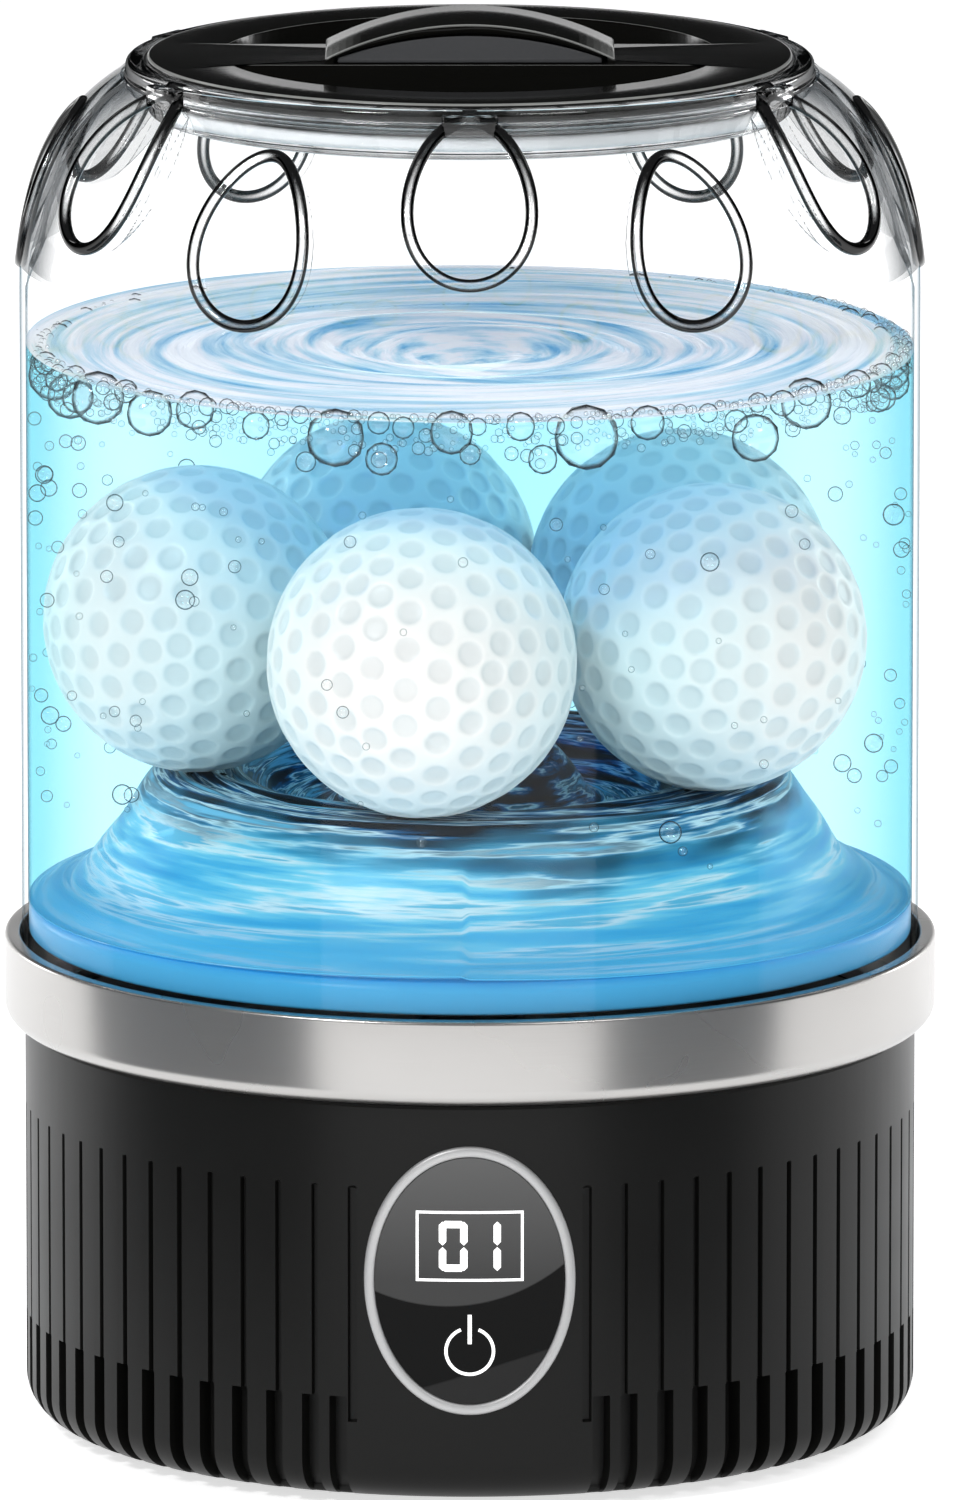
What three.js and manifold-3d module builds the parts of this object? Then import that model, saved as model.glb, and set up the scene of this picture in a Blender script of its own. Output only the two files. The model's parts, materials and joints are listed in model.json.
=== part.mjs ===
// A rechargeable golf ball washer: a base with a motor, a silver ring, a clear cup with an
// agitator and five balls in it, and a lid with a grip.
// Millimetres. The origin is the middle of the footprint, +Z is up and the control panel faces -Y.
// Angles round the washer are in degrees from the front, and grow towards +X.

import * as THREE from 'three';
import { mergeVertices } from 'three/addons/utils/BufferGeometryUtils.js';
import Module from 'manifold-3d';

const wasm = await Module();
wasm.setup();

// Clearances
const fit = 0.3;
const overrun = 1;

// Golf balls. The cup, and through it the whole washer, is sized for this many balls in a ring.
const ballRadius = 21.335;
const ballDegrees = [-9.9, 61.3, 129.7, 198.1, 277.1];
const ballWallGap = 0.365;
const cupPlay = 2.37;
const ballHeadroom = 28.68;

// Base casing
const feetShow = 1.2;
const casingHeight = 55.8;
const ringOverhang = 3.05;
const baseWall = 2.6;
const baseFillet = 5.5;
const lipWidth = 8.15;
const deckLedgeWidth = 2.2;
const deckLedgeHeight = 2.4;

// Grooves of the casing and the wider flutes under them
const grooveWidth = 0.9;
const grooveDepth = 0.9;
const grooveTopRoom = 11.4;
const edgeGrooveWidth = 1.3;
const edgeGrooveRise = 11.2;
const fluteWidth = 2.5;
const fluteRise = 14.7;
const fluteStart = 1.4;
const fluteDepth = 1.7;
const firstGrooveDegrees = 15;
const groovePitchDegrees = 5;
const fluteLeadDegrees = 0.6;

// Bottom cover, its feet and screws
const floorThickness = 3;
const footRadius = 6;
const footInset = 9;
const footPocket = 1;
const screwInset = 4;
const screwShankRadius = 1.25;
const screwHeadRadius = 2.3;
const screwHeadHeight = 1.5;
const screwCrownShare = 0.8;
const screwSlotWidth = 0.62;
const postRadius = 3.4;
const postHeight = 14;
const postRibWidth = 2;
const floorScrewLength = 9;

// Silver ring
const ringWall = 2.4;
const ringHeight = 12.1;
const ringFillet = 2.5;
const ringChamfer = 0.7;
const ringFlangeThickness = 2.3;
const ringFlangeWidth = 5.6;

// Wet deck under the cup
const deckThickness = 2.5;
const deckBore = 6;
const deckTubeRadius = 19;
const deckTubeWall = 4;
const deckTubeLength = 8;
const deckSealFlange = 2;
const deckSealLip = 1.1;

// Motor and its bracket
const motorRadius = 12.2;
const motorFloorRoom = 5.8;
const motorBossRadius = 4;
const motorBossHeight = 2;
const motorShaftRadius = 1.6;
const motorShaftDepth = 6;
const bracketThickness = 2;
const motorBoltCircle = 8;
const motorBoltLength = 5;
const bracketScrewLength = 7;

// Dog coupling
const dogRadius = 11;
const dogInnerRadius = 5;
const dogPlate = 2.6;
const dogLugHeight = 4;
const dogLift = 1.1;
const dogLugDegrees = 56;
const dogLugCount = 3;
const dogRoom = 0.9;

// Battery cells and their cradles
const cellRadius = 9.1;
const cellWallRoom = 5.65;
const cellPostRoom = 0.7;
const cradleWall = 1.4;
const cradleHeight = 8;

// Control board and charging socket
const boardThickness = 1.6;
const boardWidth = 48;
const boardHeight = 28;
const boardInset = 10.55;
const guideHeight = 5;
const guideWidth = 7;
const guideSpacing = 11.5;
const guideWall = 1.6;
const socketWidth = 8.9;
const socketHeight = 3.2;
const socketLength = 8.4;
const socketShell = 0.4;
const socketBack = 2.1;
const socketRise = 20;
const flapWidth = 15.4;
const flapHeight = 8.4;
const flapThickness = 1.1;
const flapSeatDepth = 1.85;
const flapSkipDegrees = 8;

// Control panel
const panelWidth = 29.2;
const panelFloorRoom = 12.7;
const panelTopRoom = 5.5;
const bezelBand = 1.5;
const bezelProud = 0.6;
const bezelFlange = 1.4;
const bezelFlangeDepth = 1.25;
const lensThickness = 2.2;
const lensSink = 0.3;
const panelBoardSideRoom = 3.6;
const panelBoardEndRoom = 2.8;
const panelBoardInset = 3.65;
const ledgeGapSpareDegrees = 1;
const displayWidth = 14.7;
const displayHeight = 9.85;
const displayRiseShare = 0.1303;
const touchPadRadius = 4;
const touchPadDropShare = 0.2606;

// Clear cup
const cupWall = 2.5;
const domeReach = 24;
const domeHeight = 28.5;
const domeTopWall = 4;
const neckInset = 14.1;
const collarInset = 0.7;
const collarWall = 2.7;
const collarHeight = 2.29;
const collarChamfer = 0.4;
const mouthLedge = 2.4;
const mouthTubeWall = 2.2;
const mouthTubeLength = 5;
const cupLedgeWidth = 2.4;
const cupLedgeHeight = 2.3;

// Egg-shaped recesses in the dome
const recessWidth = 18.4;
const recessLengthShare = 0.86;
const recessTaperShare = 0.2;
const recessRim = 1.4;
const recessFloor = 2;
const lowRecessRiseShare = 0.381;
const lowRecessTiltDegrees = 20.9;
const lowRecessSink = 2.6;
const highRecessRiseShare = 0.591;
const highRecessTiltDegrees = 36;
const highRecessSink = 3.6;
const highRecessStretch = 1.5;
const recessPairs = 6;

// Floor of the cup and its seals
const cupFloorThickness = 4.5;
const sealSection = 0.95;
const sealGrooveWidth = 2.5;
const sealGrooveDepth = 2.2;
const bushRadius = 6.7;
const bushLength = 5.3;
const bushLedge = 1;
const bushLedgeWidth = 2;
const hubBossRadius = 10;
const hubBossHeight = 4.9;
const shaftSealLength = 2.5;

// Agitator
const shaftRadius = 3;
const shaftReach = 2.5;
const impellerRoom = 18.5;
const impellerPlate = 2.4;
const impellerHubRadius = 8;
const impellerHubHeight = 7.4;
const impellerLift = 1.5;
const vaneCount = 6;
const vaneHeight = 3.5;
const vaneThickness = 1.8;
const vaneTipRoom = 2.5;
const vaneSweepDegrees = 55;
const padWidth = 10;
const padThickness = 1.8;
const nubHeight = 7.2;
const nubRadius = 1.3;
const nubTipRadius = 0.9;
const nubInsets = [6.5, 2.1];
const nubCounts = [18, 22];
const capRadius = 8;
const capTipRadius = 5;
const capHeight = 12;
const capFinReach = 11;
const capFinThickness = 1.6;
const capFinHeight = 8;
const capFins = 4;

// Lid
const lidProud = 0.5;
const lidFlange = 2.6;
const lidEdge = 0.3;
const trayDepth = 3.3;
const trayWall = 1.8;
const trayFloor = 1.2;
const plugPlay = 0.9;
const plugDepth = 5.3;
const plugTrayGap = 0.7;
const lidSealHeight = 2;
const lidSealNotch = 0.7;
const lidSealSeat = 1.5;
const lidSealDepth = 1.6;
const wellRim = 6.9;
const gripGap = 0.6;
const gripHalfWidth = 20;
const gripHeight = 5.6;
const gripFoot = 0.8;
const gripSeat = 0.6;
const gripFront = 10.1;
const gripRear = 7.4;
const insertRim = 1.3;
const insertDepth = 1.5;

// Facets round a turned piece
const casingFacets = 72;
const cupFacets = 48;
const largeFacets = 36;
const mediumFacets = 24;
const smallFacets = 16;
const screwFacets = 8;
const nubFacets = 4;
const ballBands = 10;

// Steps along a curve
const filletSteps = 3;
const innerFilletSteps = 2;
const domeSteps = 6;
const domeInnerSteps = 4;
const capSteps = 4;
const sealSides = 6;
const vaneSteps = 5;
const recessSteps = 12;
const panelSteps = 20;
const ledgeGapSteps = 4;
const lugSteps = 3;
const touchPadSteps = 8;
const wellSteps = 12;
const archSteps = 14;

// Radii that follow from the sizes above, from the balls outwards and then inwards again
const ballCirclePacked = ballRadius / Math.sin(Math.PI / ballDegrees.length);
const cupInnerRadius = ballRadius + ballCirclePacked + cupPlay;
const ballCircle = cupInnerRadius - ballRadius - ballWallGap;
const cupRadius = cupInnerRadius + cupWall;
const ringRadius = cupRadius + fit + ringWall;
const baseRadius = ringRadius - ringOverhang;
const baseInnerRadius = baseRadius - baseWall;
const lipBore = baseRadius - lipWidth;
const screwCircle = lipBore - screwInset;
const footCircle = lipBore - footInset;
const boardSetback = baseInnerRadius - boardInset;
const flapSetback = baseRadius - flapSeatDepth;
const domeCentreRadius = cupRadius - domeReach;
const domeInnerReach = domeReach - cupWall;
const neckRadius = cupRadius - neckInset;
const collarRadius = neckRadius - collarInset;
const lidRadius = collarRadius - collarWall - fit;
const mouthRadius = lidRadius - mouthLedge;
const plugRadius = mouthRadius - plugPlay;
const wellRadius = plugRadius - wellRim;
const trayRadius = wellRadius + trayWall;
const impellerRadius = cupInnerRadius - impellerRoom;
const padInnerRadius = impellerRadius - padWidth;
const vaneReach = padInnerRadius - vaneTipRoom;

// Levels that follow from the sizes above, from the feet upwards
const floorTop = feetShow + floorThickness;
const baseTop = feetShow + casingHeight;
const grooveTop = baseTop - grooveTopRoom;
const edgeGrooveBottom = feetShow + edgeGrooveRise;
const fluteTop = feetShow + fluteRise;
const fluteBottom = feetShow + fluteStart;
const panelHeight = casingHeight - panelFloorRoom - panelTopRoom;
const panelCentre = feetShow + panelFloorRoom + panelHeight / 2;
const displayCentre = panelCentre + panelHeight * displayRiseShare;
const touchPadCentre = panelCentre - panelHeight * touchPadDropShare;
const boardBottom = floorTop + guideHeight / 2 + fit;
const socketCentre = boardBottom + socketRise;
const deckTop = baseTop - fit;
const deckBottom = deckTop - deckThickness;
const ringBottom = baseTop + fit;
const ringTop = ringBottom + ringHeight;
const cupBottom = ringBottom + ringFlangeThickness + fit;
const tubeBottom = deckBottom - deckTubeLength;
const bracketTop = tubeBottom - fit;
const bracketBottom = bracketTop - bracketThickness;
const motorTop = bracketBottom - fit;
const motorBottom = floorTop + motorFloorRoom;
const dogBottom = deckTop + deckSealLip + fit + dogLift;
const dogPlateTop = dogBottom + dogPlate;
const upperLugBottom = dogPlateTop + fit;
const upperPlateBottom = upperLugBottom + dogLugHeight;
const cupFloorBottom = upperPlateBottom + dogPlate + dogRoom;
const cupLedgeTop = cupFloorBottom - fit;
const cupFloorTop = cupFloorBottom + cupFloorThickness;
const hubTop = cupFloorTop + hubBossHeight;
const impellerBottom = hubTop + fit;
const impellerPlateBottom = impellerBottom + impellerLift;
const impellerPlateTop = impellerPlateBottom + impellerPlate;
const impellerHubTop = impellerBottom + impellerHubHeight;
const shaftTop = impellerHubTop + shaftReach;
const padBottom = impellerPlateTop + fit;
const padTop = padBottom + padThickness;
const ballCentre = padTop + nubHeight + fit + ballRadius;
const cupStraightTop = ballCentre + ballRadius + ballHeadroom;
const domeInnerHeight = domeHeight - domeTopWall;
const lowRecessCentre = cupStraightTop + domeHeight * lowRecessRiseShare;
const highRecessCentre = cupStraightTop + domeHeight * highRecessRiseShare;
const recessLength = domeHeight * recessLengthShare;
const neckAngle = Math.acos((neckRadius - domeCentreRadius) / domeReach);
const neckLevel = cupStraightTop + domeHeight * Math.sin(neckAngle);
const collarTop = neckLevel + collarHeight;
const lidTop = collarTop + lidProud;
const flangeBottom = lidTop - lidFlange;
const ledgeLevel = flangeBottom - fit;

// Looks
const blackPlastic = () => look(0x262625, 0.5, 0);
const glossBlack = () => look(0x101011, 0.15, 0);
const greyPlastic = () => look(0x6b6d70, 0.5, 0);
const clearPlastic = () => look(0xdfeef5, 0.05, 0);
const satinSilver = () => look(0xa9abad, 0.35, 0.9);
const brightSilver = () => look(0xd8d9db, 0.3, 0.8);
const steel = () => look(0xb4b6b8, 0.3, 1);
const bronze = () => look(0x9c7446, 0.4, 1);
const darkRubber = () => look(0x1c1c1d, 0.85, 0);
const greyRubber = () => look(0x8c9093, 0.8, 0);
const boardGreen = () => look(0x1f5b3a, 0.5, 0);
const cellWrap = () => look(0x2f6fb0, 0.4, 0);
const ballWhite = () => look(0xf4f5f6, 0.35, 0);

function look(color, roughness, metalness) {
  return new THREE.MeshStandardMaterial({ color, roughness, metalness });
}

const rad = THREE.MathUtils.degToRad;

// A closed geometry becomes a solid: shared points are merged, slivers dropped and faces turned out.
function solid(geometry) {
  geometry.deleteAttribute('normal');
  geometry.deleteAttribute('uv');
  const merged = mergeVertices(geometry);
  const place = merged.attributes.position;
  const corner = [new THREE.Vector3(), new THREE.Vector3(), new THREE.Vector3()];
  const faces = [];
  let volume = 0;
  for (let i = 0; i < merged.index.count; i += 3) {
    const face = [0, 1, 2].map((k) => merged.index.getX(i + k));
    if (new Set(face).size < 3) continue;
    face.forEach((v, k) => corner[k].fromBufferAttribute(place, v));
    volume += corner[0].dot(corner[1].cross(corner[2]));
    faces.push(face);
  }
  const outward = volume > 0 ? faces : faces.map(([a, b, c]) => [a, c, b]);
  const triVerts = new Uint32Array(outward.flat());
  const vertProperties = new Float32Array(place.array);
  return new wasm.Manifold(new wasm.Mesh({ numProp: 3, vertProperties, triVerts }));
}

function piece(name, body, material) {
  const mesh = body.getMesh();
  const geometry = new THREE.BufferGeometry();
  geometry.setAttribute('position', new THREE.BufferAttribute(mesh.vertProperties, 3));
  geometry.setIndex(new THREE.BufferAttribute(mesh.triVerts, 1));
  geometry.computeVertexNormals();
  const part = new THREE.Mesh(geometry, material);
  part.name = name;
  return part;
}

// Points of an arc in the radius and height plane, from one angle to another.
function arc(radius, height, reachOut, reachUp, from, to, steps) {
  const points = [];
  for (let i = 0; i <= steps; i += 1) {
    const angle = rad(from + ((to - from) * i) / steps);
    points.push([radius + reachOut * Math.cos(angle), height + reachUp * Math.sin(angle)]);
  }
  return points;
}

// A profile of radius and height pairs, turned about Z. It closes on itself or ends on the axis.
function turned(profile, facets) {
  const points = profile.map(([radius, height]) => new THREE.Vector2(radius, height));
  if (profile[0][0] > 0) points.push(points[0].clone());
  const geometry = new THREE.LatheGeometry(points, facets);
  geometry.rotateX(Math.PI / 2);
  geometry.rotateZ(Math.PI / facets);
  return solid(geometry);
}

function disc(radius, bottom, top, facets) {
  return turned([[0, bottom], [radius, bottom], [radius, top], [0, top]], facets);
}

function tube(inner, outer, bottom, top, facets) {
  return turned([[inner, bottom], [outer, bottom], [outer, top], [inner, top]], facets);
}

function moved(geometry, x, y, z, degrees) {
  geometry.translate(x, y, z);
  geometry.rotateZ(rad(degrees));
  return solid(geometry);
}

function block(xLow, xHigh, yLow, yHigh, zLow, zHigh, degrees = 0) {
  const geometry = new THREE.BoxGeometry(xHigh - xLow, yHigh - yLow, zHigh - zLow);
  return moved(geometry, (xLow + xHigh) / 2, (yLow + yHigh) / 2, (zLow + zHigh) / 2, degrees);
}

// A round bar upright at a distance from the axis, at an angle from the front.
function peg(bottomRadius, topRadius, bottom, top, circle, degrees, facets) {
  const geometry = new THREE.CylinderGeometry(topRadius, bottomRadius, top - bottom, facets);
  geometry.rotateX(Math.PI / 2);
  return moved(geometry, 0, -circle, (top + bottom) / 2, degrees);
}

// A shape drawn in width and height, pushed out from one distance from the axis to another.
function frontPrism(shape, near, far, curveSegments, degrees = 0) {
  const settings = { depth: far - near, bevelEnabled: false, curveSegments };
  const geometry = new THREE.ExtrudeGeometry(shape, settings);
  geometry.rotateX(Math.PI / 2);
  return moved(geometry, 0, -near, 0, degrees);
}

// A shape drawn in plan, raised between two levels.
function plate(shape, bottom, top, curveSegments, degrees = 0) {
  const settings = { depth: top - bottom, bevelEnabled: false, curveSegments };
  const geometry = new THREE.ExtrudeGeometry(shape, settings);
  return moved(geometry, 0, 0, bottom, degrees);
}

function ellipse(width, height, centre) {
  const shape = new THREE.Shape();
  shape.absellipse(0, centre, width / 2, height / 2, 0, 2 * Math.PI);
  return shape;
}

function sector(inner, outer, halfDegrees, middleDegrees) {
  const low = rad(middleDegrees - halfDegrees);
  const high = rad(middleDegrees + halfDegrees);
  const shape = new THREE.Shape();
  shape.absarc(0, 0, outer, low, high, false);
  shape.absarc(0, 0, inner, high, low, true);
  return shape;
}

function cutAll(body, cutters) {
  return cutters.reduce((rest, cutter) => rest.subtract(cutter), body);
}

function addAll(body, extras) {
  return extras.reduce((whole, extra) => whole.add(extra), body);
}

// Base

const screwDegrees = [40, 140, 220, 320];
const footDegrees = [0, 90, 180, 270];

function grooveDegrees() {
  const list = [];
  for (let angle = firstGrooveDegrees; angle <= 360 - firstGrooveDegrees; angle += groovePitchDegrees) {
    list.push(angle);
  }
  return list;
}

function casingGrooves() {
  const near = baseRadius - grooveDepth;
  const far = baseRadius + overrun;
  const last = 360 - firstGrooveDegrees;
  return grooveDegrees()
    .filter((angle) => Math.abs(angle - 180) > flapSkipDegrees)
    .map((angle) => {
      const atEdge = angle === firstGrooveDegrees || angle === last;
      const half = (atEdge ? edgeGrooveWidth : grooveWidth) / 2;
      const bottom = atEdge ? edgeGrooveBottom : fluteTop - fit;
      return block(-half, half, -far, -near, bottom, grooveTop, angle);
    });
}

function casingFlutes() {
  const near = baseRadius - fluteDepth;
  const far = baseRadius + overrun;
  const half = fluteWidth / 2;
  const last = 360 - firstGrooveDegrees;
  return grooveDegrees()
    .filter((angle) => angle > firstGrooveDegrees && angle < last)
    .map((angle) => {
      const lead = fluteLeadDegrees * Math.sign(180 - angle);
      return block(-half, half, -far, -near, fluteBottom, fluteTop, angle + lead);
    });
}

function baseShell() {
  const filletCentre = baseRadius - baseFillet;
  const innerFillet = baseFillet - baseWall;
  const ledgeTop = deckBottom - fit;
  const ledgeBottom = ledgeTop - deckLedgeHeight;
  const ledgeRadius = baseInnerRadius - deckLedgeWidth;
  const profile = [
    [lipBore, feetShow],
    ...arc(filletCentre, feetShow + baseFillet, baseFillet, baseFillet, -90, 0, filletSteps),
    [baseRadius, baseTop],
    [baseInnerRadius, baseTop],
    [baseInnerRadius, ledgeTop],
    [ledgeRadius, ledgeTop],
    [ledgeRadius, ledgeBottom + deckLedgeWidth],
    [baseInnerRadius, ledgeBottom],
    ...arc(filletCentre, feetShow + baseFillet, innerFillet, innerFillet, 0, -90, innerFilletSteps),
    [lipBore, feetShow + baseWall],
  ];
  const posts = screwDegrees.flatMap((angle) => [
    peg(postRadius, postRadius, floorTop + fit, floorTop + postHeight, screwCircle, angle, screwFacets),
    block(-postRibWidth / 2, postRibWidth / 2, -baseInnerRadius - baseWall / 2, -screwCircle,
      floorTop + baseWall, floorTop + postHeight, angle),
  ]);
  const postHoles = screwDegrees.map((angle) => peg(screwShankRadius + fit, screwShankRadius + fit,
    feetShow, feetShow + screwHeadHeight + floorScrewLength + fit, screwCircle, angle, screwFacets));
  const panelHole = frontPrism(ellipse(panelWidth + 2 * fit, panelHeight + 2 * fit, panelCentre),
    ledgeRadius - overrun, baseRadius + overrun, panelSteps);
  const flangeReach = (panelWidth / 2 + bezelFlange + fit) / baseInnerRadius;
  const flangeDegrees = THREE.MathUtils.radToDeg(flangeReach) + ledgeGapSpareDegrees;
  const ledgeGap = plate(sector(ledgeRadius - overrun, baseInnerRadius, flangeDegrees, -90),
    ledgeBottom - overrun, ledgeTop + fit, ledgeGapSteps);
  const socketHalf = socketHeight / 2 + fit;
  const socketHole = block(-socketWidth / 2 - fit, socketWidth / 2 + fit, baseInnerRadius - baseWall,
    baseRadius + overrun, socketCentre - socketHalf, socketCentre + socketHalf);
  const flapHalf = flapHeight / 2 + fit;
  const flapSeat = block(-flapWidth / 2 - fit, flapWidth / 2 + fit, flapSetback, baseRadius + overrun,
    socketCentre - flapHalf, socketCentre + flapHalf);
  const openings = [...postHoles, ledgeGap, panelHole, socketHole, flapSeat];
  const body = cutAll(addAll(turned(profile, casingFacets), posts), openings);
  return cutAll(body, [...casingGrooves(), ...casingFlutes()]);
}

function baseFloor() {
  const shankHoles = screwDegrees.map((angle) => peg(screwShankRadius + fit, screwShankRadius + fit,
    feetShow - overrun, floorTop + overrun, screwCircle, angle, screwFacets));
  const headHoles = screwDegrees.map((angle) => peg(screwHeadRadius + fit, screwHeadRadius + fit,
    feetShow - overrun, feetShow + screwHeadHeight + fit, screwCircle, angle, screwFacets));
  const pockets = footDegrees.map((angle) => peg(footRadius + fit, footRadius + fit,
    feetShow - overrun, feetShow + footPocket, footCircle, angle, smallFacets));
  const guides = [-1, 1].map((side) => guide(side));
  const body = addAll(disc(lipBore - fit, feetShow, floorTop, largeFacets), guides);
  return cutAll(body, [...shankHoles, ...headHoles, ...pockets]);
}

// One of the two forks that hold the lower edge of the control board.
function guide(side) {
  const middle = side * guideSpacing;
  const reach = boardThickness / 2 + fit;
  const fork = block(middle - guideWidth / 2, middle + guideWidth / 2, boardSetback - reach - guideWall,
    boardSetback + reach + guideWall, floorTop - fit, floorTop + guideHeight);
  return fork.subtract(block(middle - guideWidth, middle + guideWidth, boardSetback - reach,
    boardSetback + reach, floorTop + guideHeight / 2, floorTop + guideHeight + overrun));
}

// A pan head screw with its head down, its seat at the origin and its shank along +Z.
function screw(length) {
  const head = turned([
    [0, -screwHeadHeight],
    [screwHeadRadius * screwCrownShare, -screwHeadHeight],
    [screwHeadRadius, -screwHeadHeight / 2],
    [screwHeadRadius, 0],
    [screwShankRadius, 0],
    [screwShankRadius, length],
    [0, length],
  ], screwFacets);
  const slot = block(-screwHeadRadius, screwHeadRadius, -screwSlotWidth / 2, screwSlotWidth / 2,
    -screwHeadHeight - overrun, -screwHeadHeight / 2);
  return head.subtract(slot);
}

function placedScrew(name, length, circle, degrees, level, upsideDown) {
  const mesh = piece(name, screw(length), steel());
  if (upsideDown) mesh.rotation.x = Math.PI;
  mesh.position.set(circle * Math.sin(rad(degrees)), -circle * Math.cos(rad(degrees)), level);
  return mesh;
}

function rubberFoot(name, degrees) {
  const top = feetShow + footPocket - fit;
  const body = turned([[0, 0], [footRadius - fit, 0], [footRadius, fit], [footRadius, top], [0, top]],
    smallFacets);
  const mesh = piece(name, body, darkRubber());
  mesh.position.set(footCircle * Math.sin(rad(degrees)), -footCircle * Math.cos(rad(degrees)), 0);
  return mesh;
}

function trimRing() {
  const inner = cupRadius + fit;
  const flangeTop = ringBottom + ringFlangeThickness;
  return turned([
    [inner - ringFlangeWidth, ringBottom],
    ...arc(ringRadius - ringFillet, ringBottom + ringFillet, ringFillet, ringFillet, -90, 0, filletSteps),
    [ringRadius, ringTop - ringChamfer],
    [ringRadius - ringChamfer, ringTop],
    [inner, ringTop],
    [inner, flangeTop],
    [inner - ringFlangeWidth, flangeTop],
  ], largeFacets);
}

function splashDeck() {
  const tubeInner = deckTubeRadius - deckTubeWall;
  const body = turned([
    [deckBore, deckBottom],
    [tubeInner, deckBottom],
    [tubeInner, tubeBottom],
    [deckTubeRadius, tubeBottom],
    [deckTubeRadius, deckBottom],
    [baseInnerRadius - fit, deckBottom],
    [baseInnerRadius - fit, deckTop],
    [deckBore, deckTop],
  ], mediumFacets);
  const holeTop = bracketBottom + bracketScrewLength + fit;
  return cutAll(body, bracketScrewDegrees.map((angle) => peg(screwShankRadius + fit, screwShankRadius + fit,
    tubeBottom - overrun, holeTop, bracketScrewCircle, angle, screwFacets)));
}

function deckSeal() {
  return turned([
    [motorShaftRadius + fit, deckBottom],
    [deckBore - fit, deckBottom],
    [deckBore - fit, deckTop + fit],
    [deckBore + deckSealFlange, deckTop + fit],
    [deckBore + deckSealFlange, deckTop + deckSealLip],
    [motorShaftRadius + fit, deckTop + deckSealLip],
  ], smallFacets);
}

const bracketScrewDegrees = [60, 180, 300];
const bracketScrewCircle = deckTubeRadius - deckTubeWall / 2;
const motorBoltDegrees = [90, 270];

function motorCan() {
  const bore = motorShaftRadius + fit;
  const shoulder = motorRadius - fit;
  const body = turned([
    [0, motorBottom],
    [shoulder, motorBottom],
    [motorRadius, motorBottom + fit],
    [motorRadius, motorTop - fit],
    [shoulder, motorTop],
    [motorBossRadius, motorTop],
    [motorBossRadius, motorTop + motorBossHeight],
    [bore, motorTop + motorBossHeight],
    [bore, motorTop - motorShaftDepth],
    [0, motorTop - motorShaftDepth],
  ], smallFacets);
  return cutAll(body, motorBoltDegrees.map((angle) => peg(screwShankRadius + fit, screwShankRadius + fit,
    bracketTop - motorBoltLength - fit, motorTop + overrun, motorBoltCircle, angle, screwFacets)));
}

function motorBracket() {
  const hole = screwShankRadius + fit;
  const body = tube(motorBossRadius + fit, deckTubeRadius, bracketBottom, bracketTop, mediumFacets);
  const bolts = motorBoltDegrees.map((angle) => [motorBoltCircle, angle]);
  const screws = bracketScrewDegrees.map((angle) => [bracketScrewCircle, angle]);
  return cutAll(body, [...bolts, ...screws].map(([circle, angle]) => peg(hole, hole,
    bracketBottom - overrun, bracketTop + overrun, circle, angle, screwFacets)));
}

// The cells lie between the posts of the bottom cover's screws.
const cellLevel = floorTop + fit + cradleWall + fit + cellRadius;
const postReach = screwCircle * Math.cos(rad(screwDegrees[0])) - postRadius;
const cradleEnd = postReach - cellPostRoom;
const cradleHalfWidth = cellRadius + fit + cradleWall / 2;
const cellLength = 2 * (cradleEnd - cradleWall - fit);
const cellOffset = Math.sqrt(baseInnerRadius ** 2 - cradleEnd ** 2) - cellWallRoom - cradleHalfWidth;

function batteryCell(side) {
  const geometry = new THREE.CylinderGeometry(cellRadius, cellRadius, cellLength, smallFacets);
  return moved(geometry, side * cellOffset, 0, cellLevel, 0);
}

function batteryCradle(side) {
  const middle = side * cellOffset;
  const bottom = floorTop + fit;
  const troughLength = 2 * (cradleEnd - cradleWall);
  const trough = new THREE.CylinderGeometry(cellRadius + fit, cellRadius + fit, troughLength, smallFacets);
  const body = block(middle - cradleHalfWidth, middle + cradleHalfWidth, -cradleEnd, cradleEnd,
    bottom, bottom + cradleHeight);
  return body.subtract(moved(trough, middle, 0, cellLevel, 0));
}

function mainBoard() {
  return block(-boardWidth / 2, boardWidth / 2, boardSetback - boardThickness / 2,
    boardSetback + boardThickness / 2, boardBottom, boardBottom + boardHeight);
}

function chargingSocket() {
  const near = boardSetback + boardThickness / 2 + fit;
  const half = socketWidth / 2;
  const low = socketCentre - socketHeight / 2;
  const high = socketCentre + socketHeight / 2;
  const body = block(-half, half, near, near + socketLength, low, high);
  return body.subtract(block(-half + socketShell, half - socketShell, near + socketBack,
    near + socketLength + overrun, low + socketShell, high - socketShell));
}

function portFlap() {
  const near = flapSetback + fit;
  return block(-flapWidth / 2, flapWidth / 2, near, near + flapThickness,
    socketCentre - flapHeight / 2, socketCentre + flapHeight / 2);
}

function wallSlice(near, far) {
  return tube(near, far, 0, baseTop, casingFacets);
}

function panelBezel() {
  const back = baseInnerRadius - fit;
  const front = baseRadius + bezelProud;
  const deepest = back - bezelFlangeDepth;
  const rimShape = ellipse(panelWidth, panelHeight, panelCentre);
  const rim = frontPrism(rimShape, deepest - overrun, front + overrun, panelSteps)
    .intersect(wallSlice(deepest, front));
  const flangeShape = ellipse(panelWidth + 2 * bezelFlange, panelHeight + 2 * bezelFlange, panelCentre);
  const flange = frontPrism(flangeShape, deepest - overrun, back + overrun, panelSteps)
    .intersect(wallSlice(deepest, back));
  const window = ellipse(panelWidth - 2 * bezelBand, panelHeight - 2 * bezelBand, panelCentre);
  return rim.add(flange).subtract(frontPrism(window, deepest - baseWall, front + overrun, panelSteps));
}

const lensFront = baseRadius + bezelProud - lensSink;
const lensBack = lensFront - lensThickness;
const panelBoardSetback = lensBack - panelBoardInset;

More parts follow.
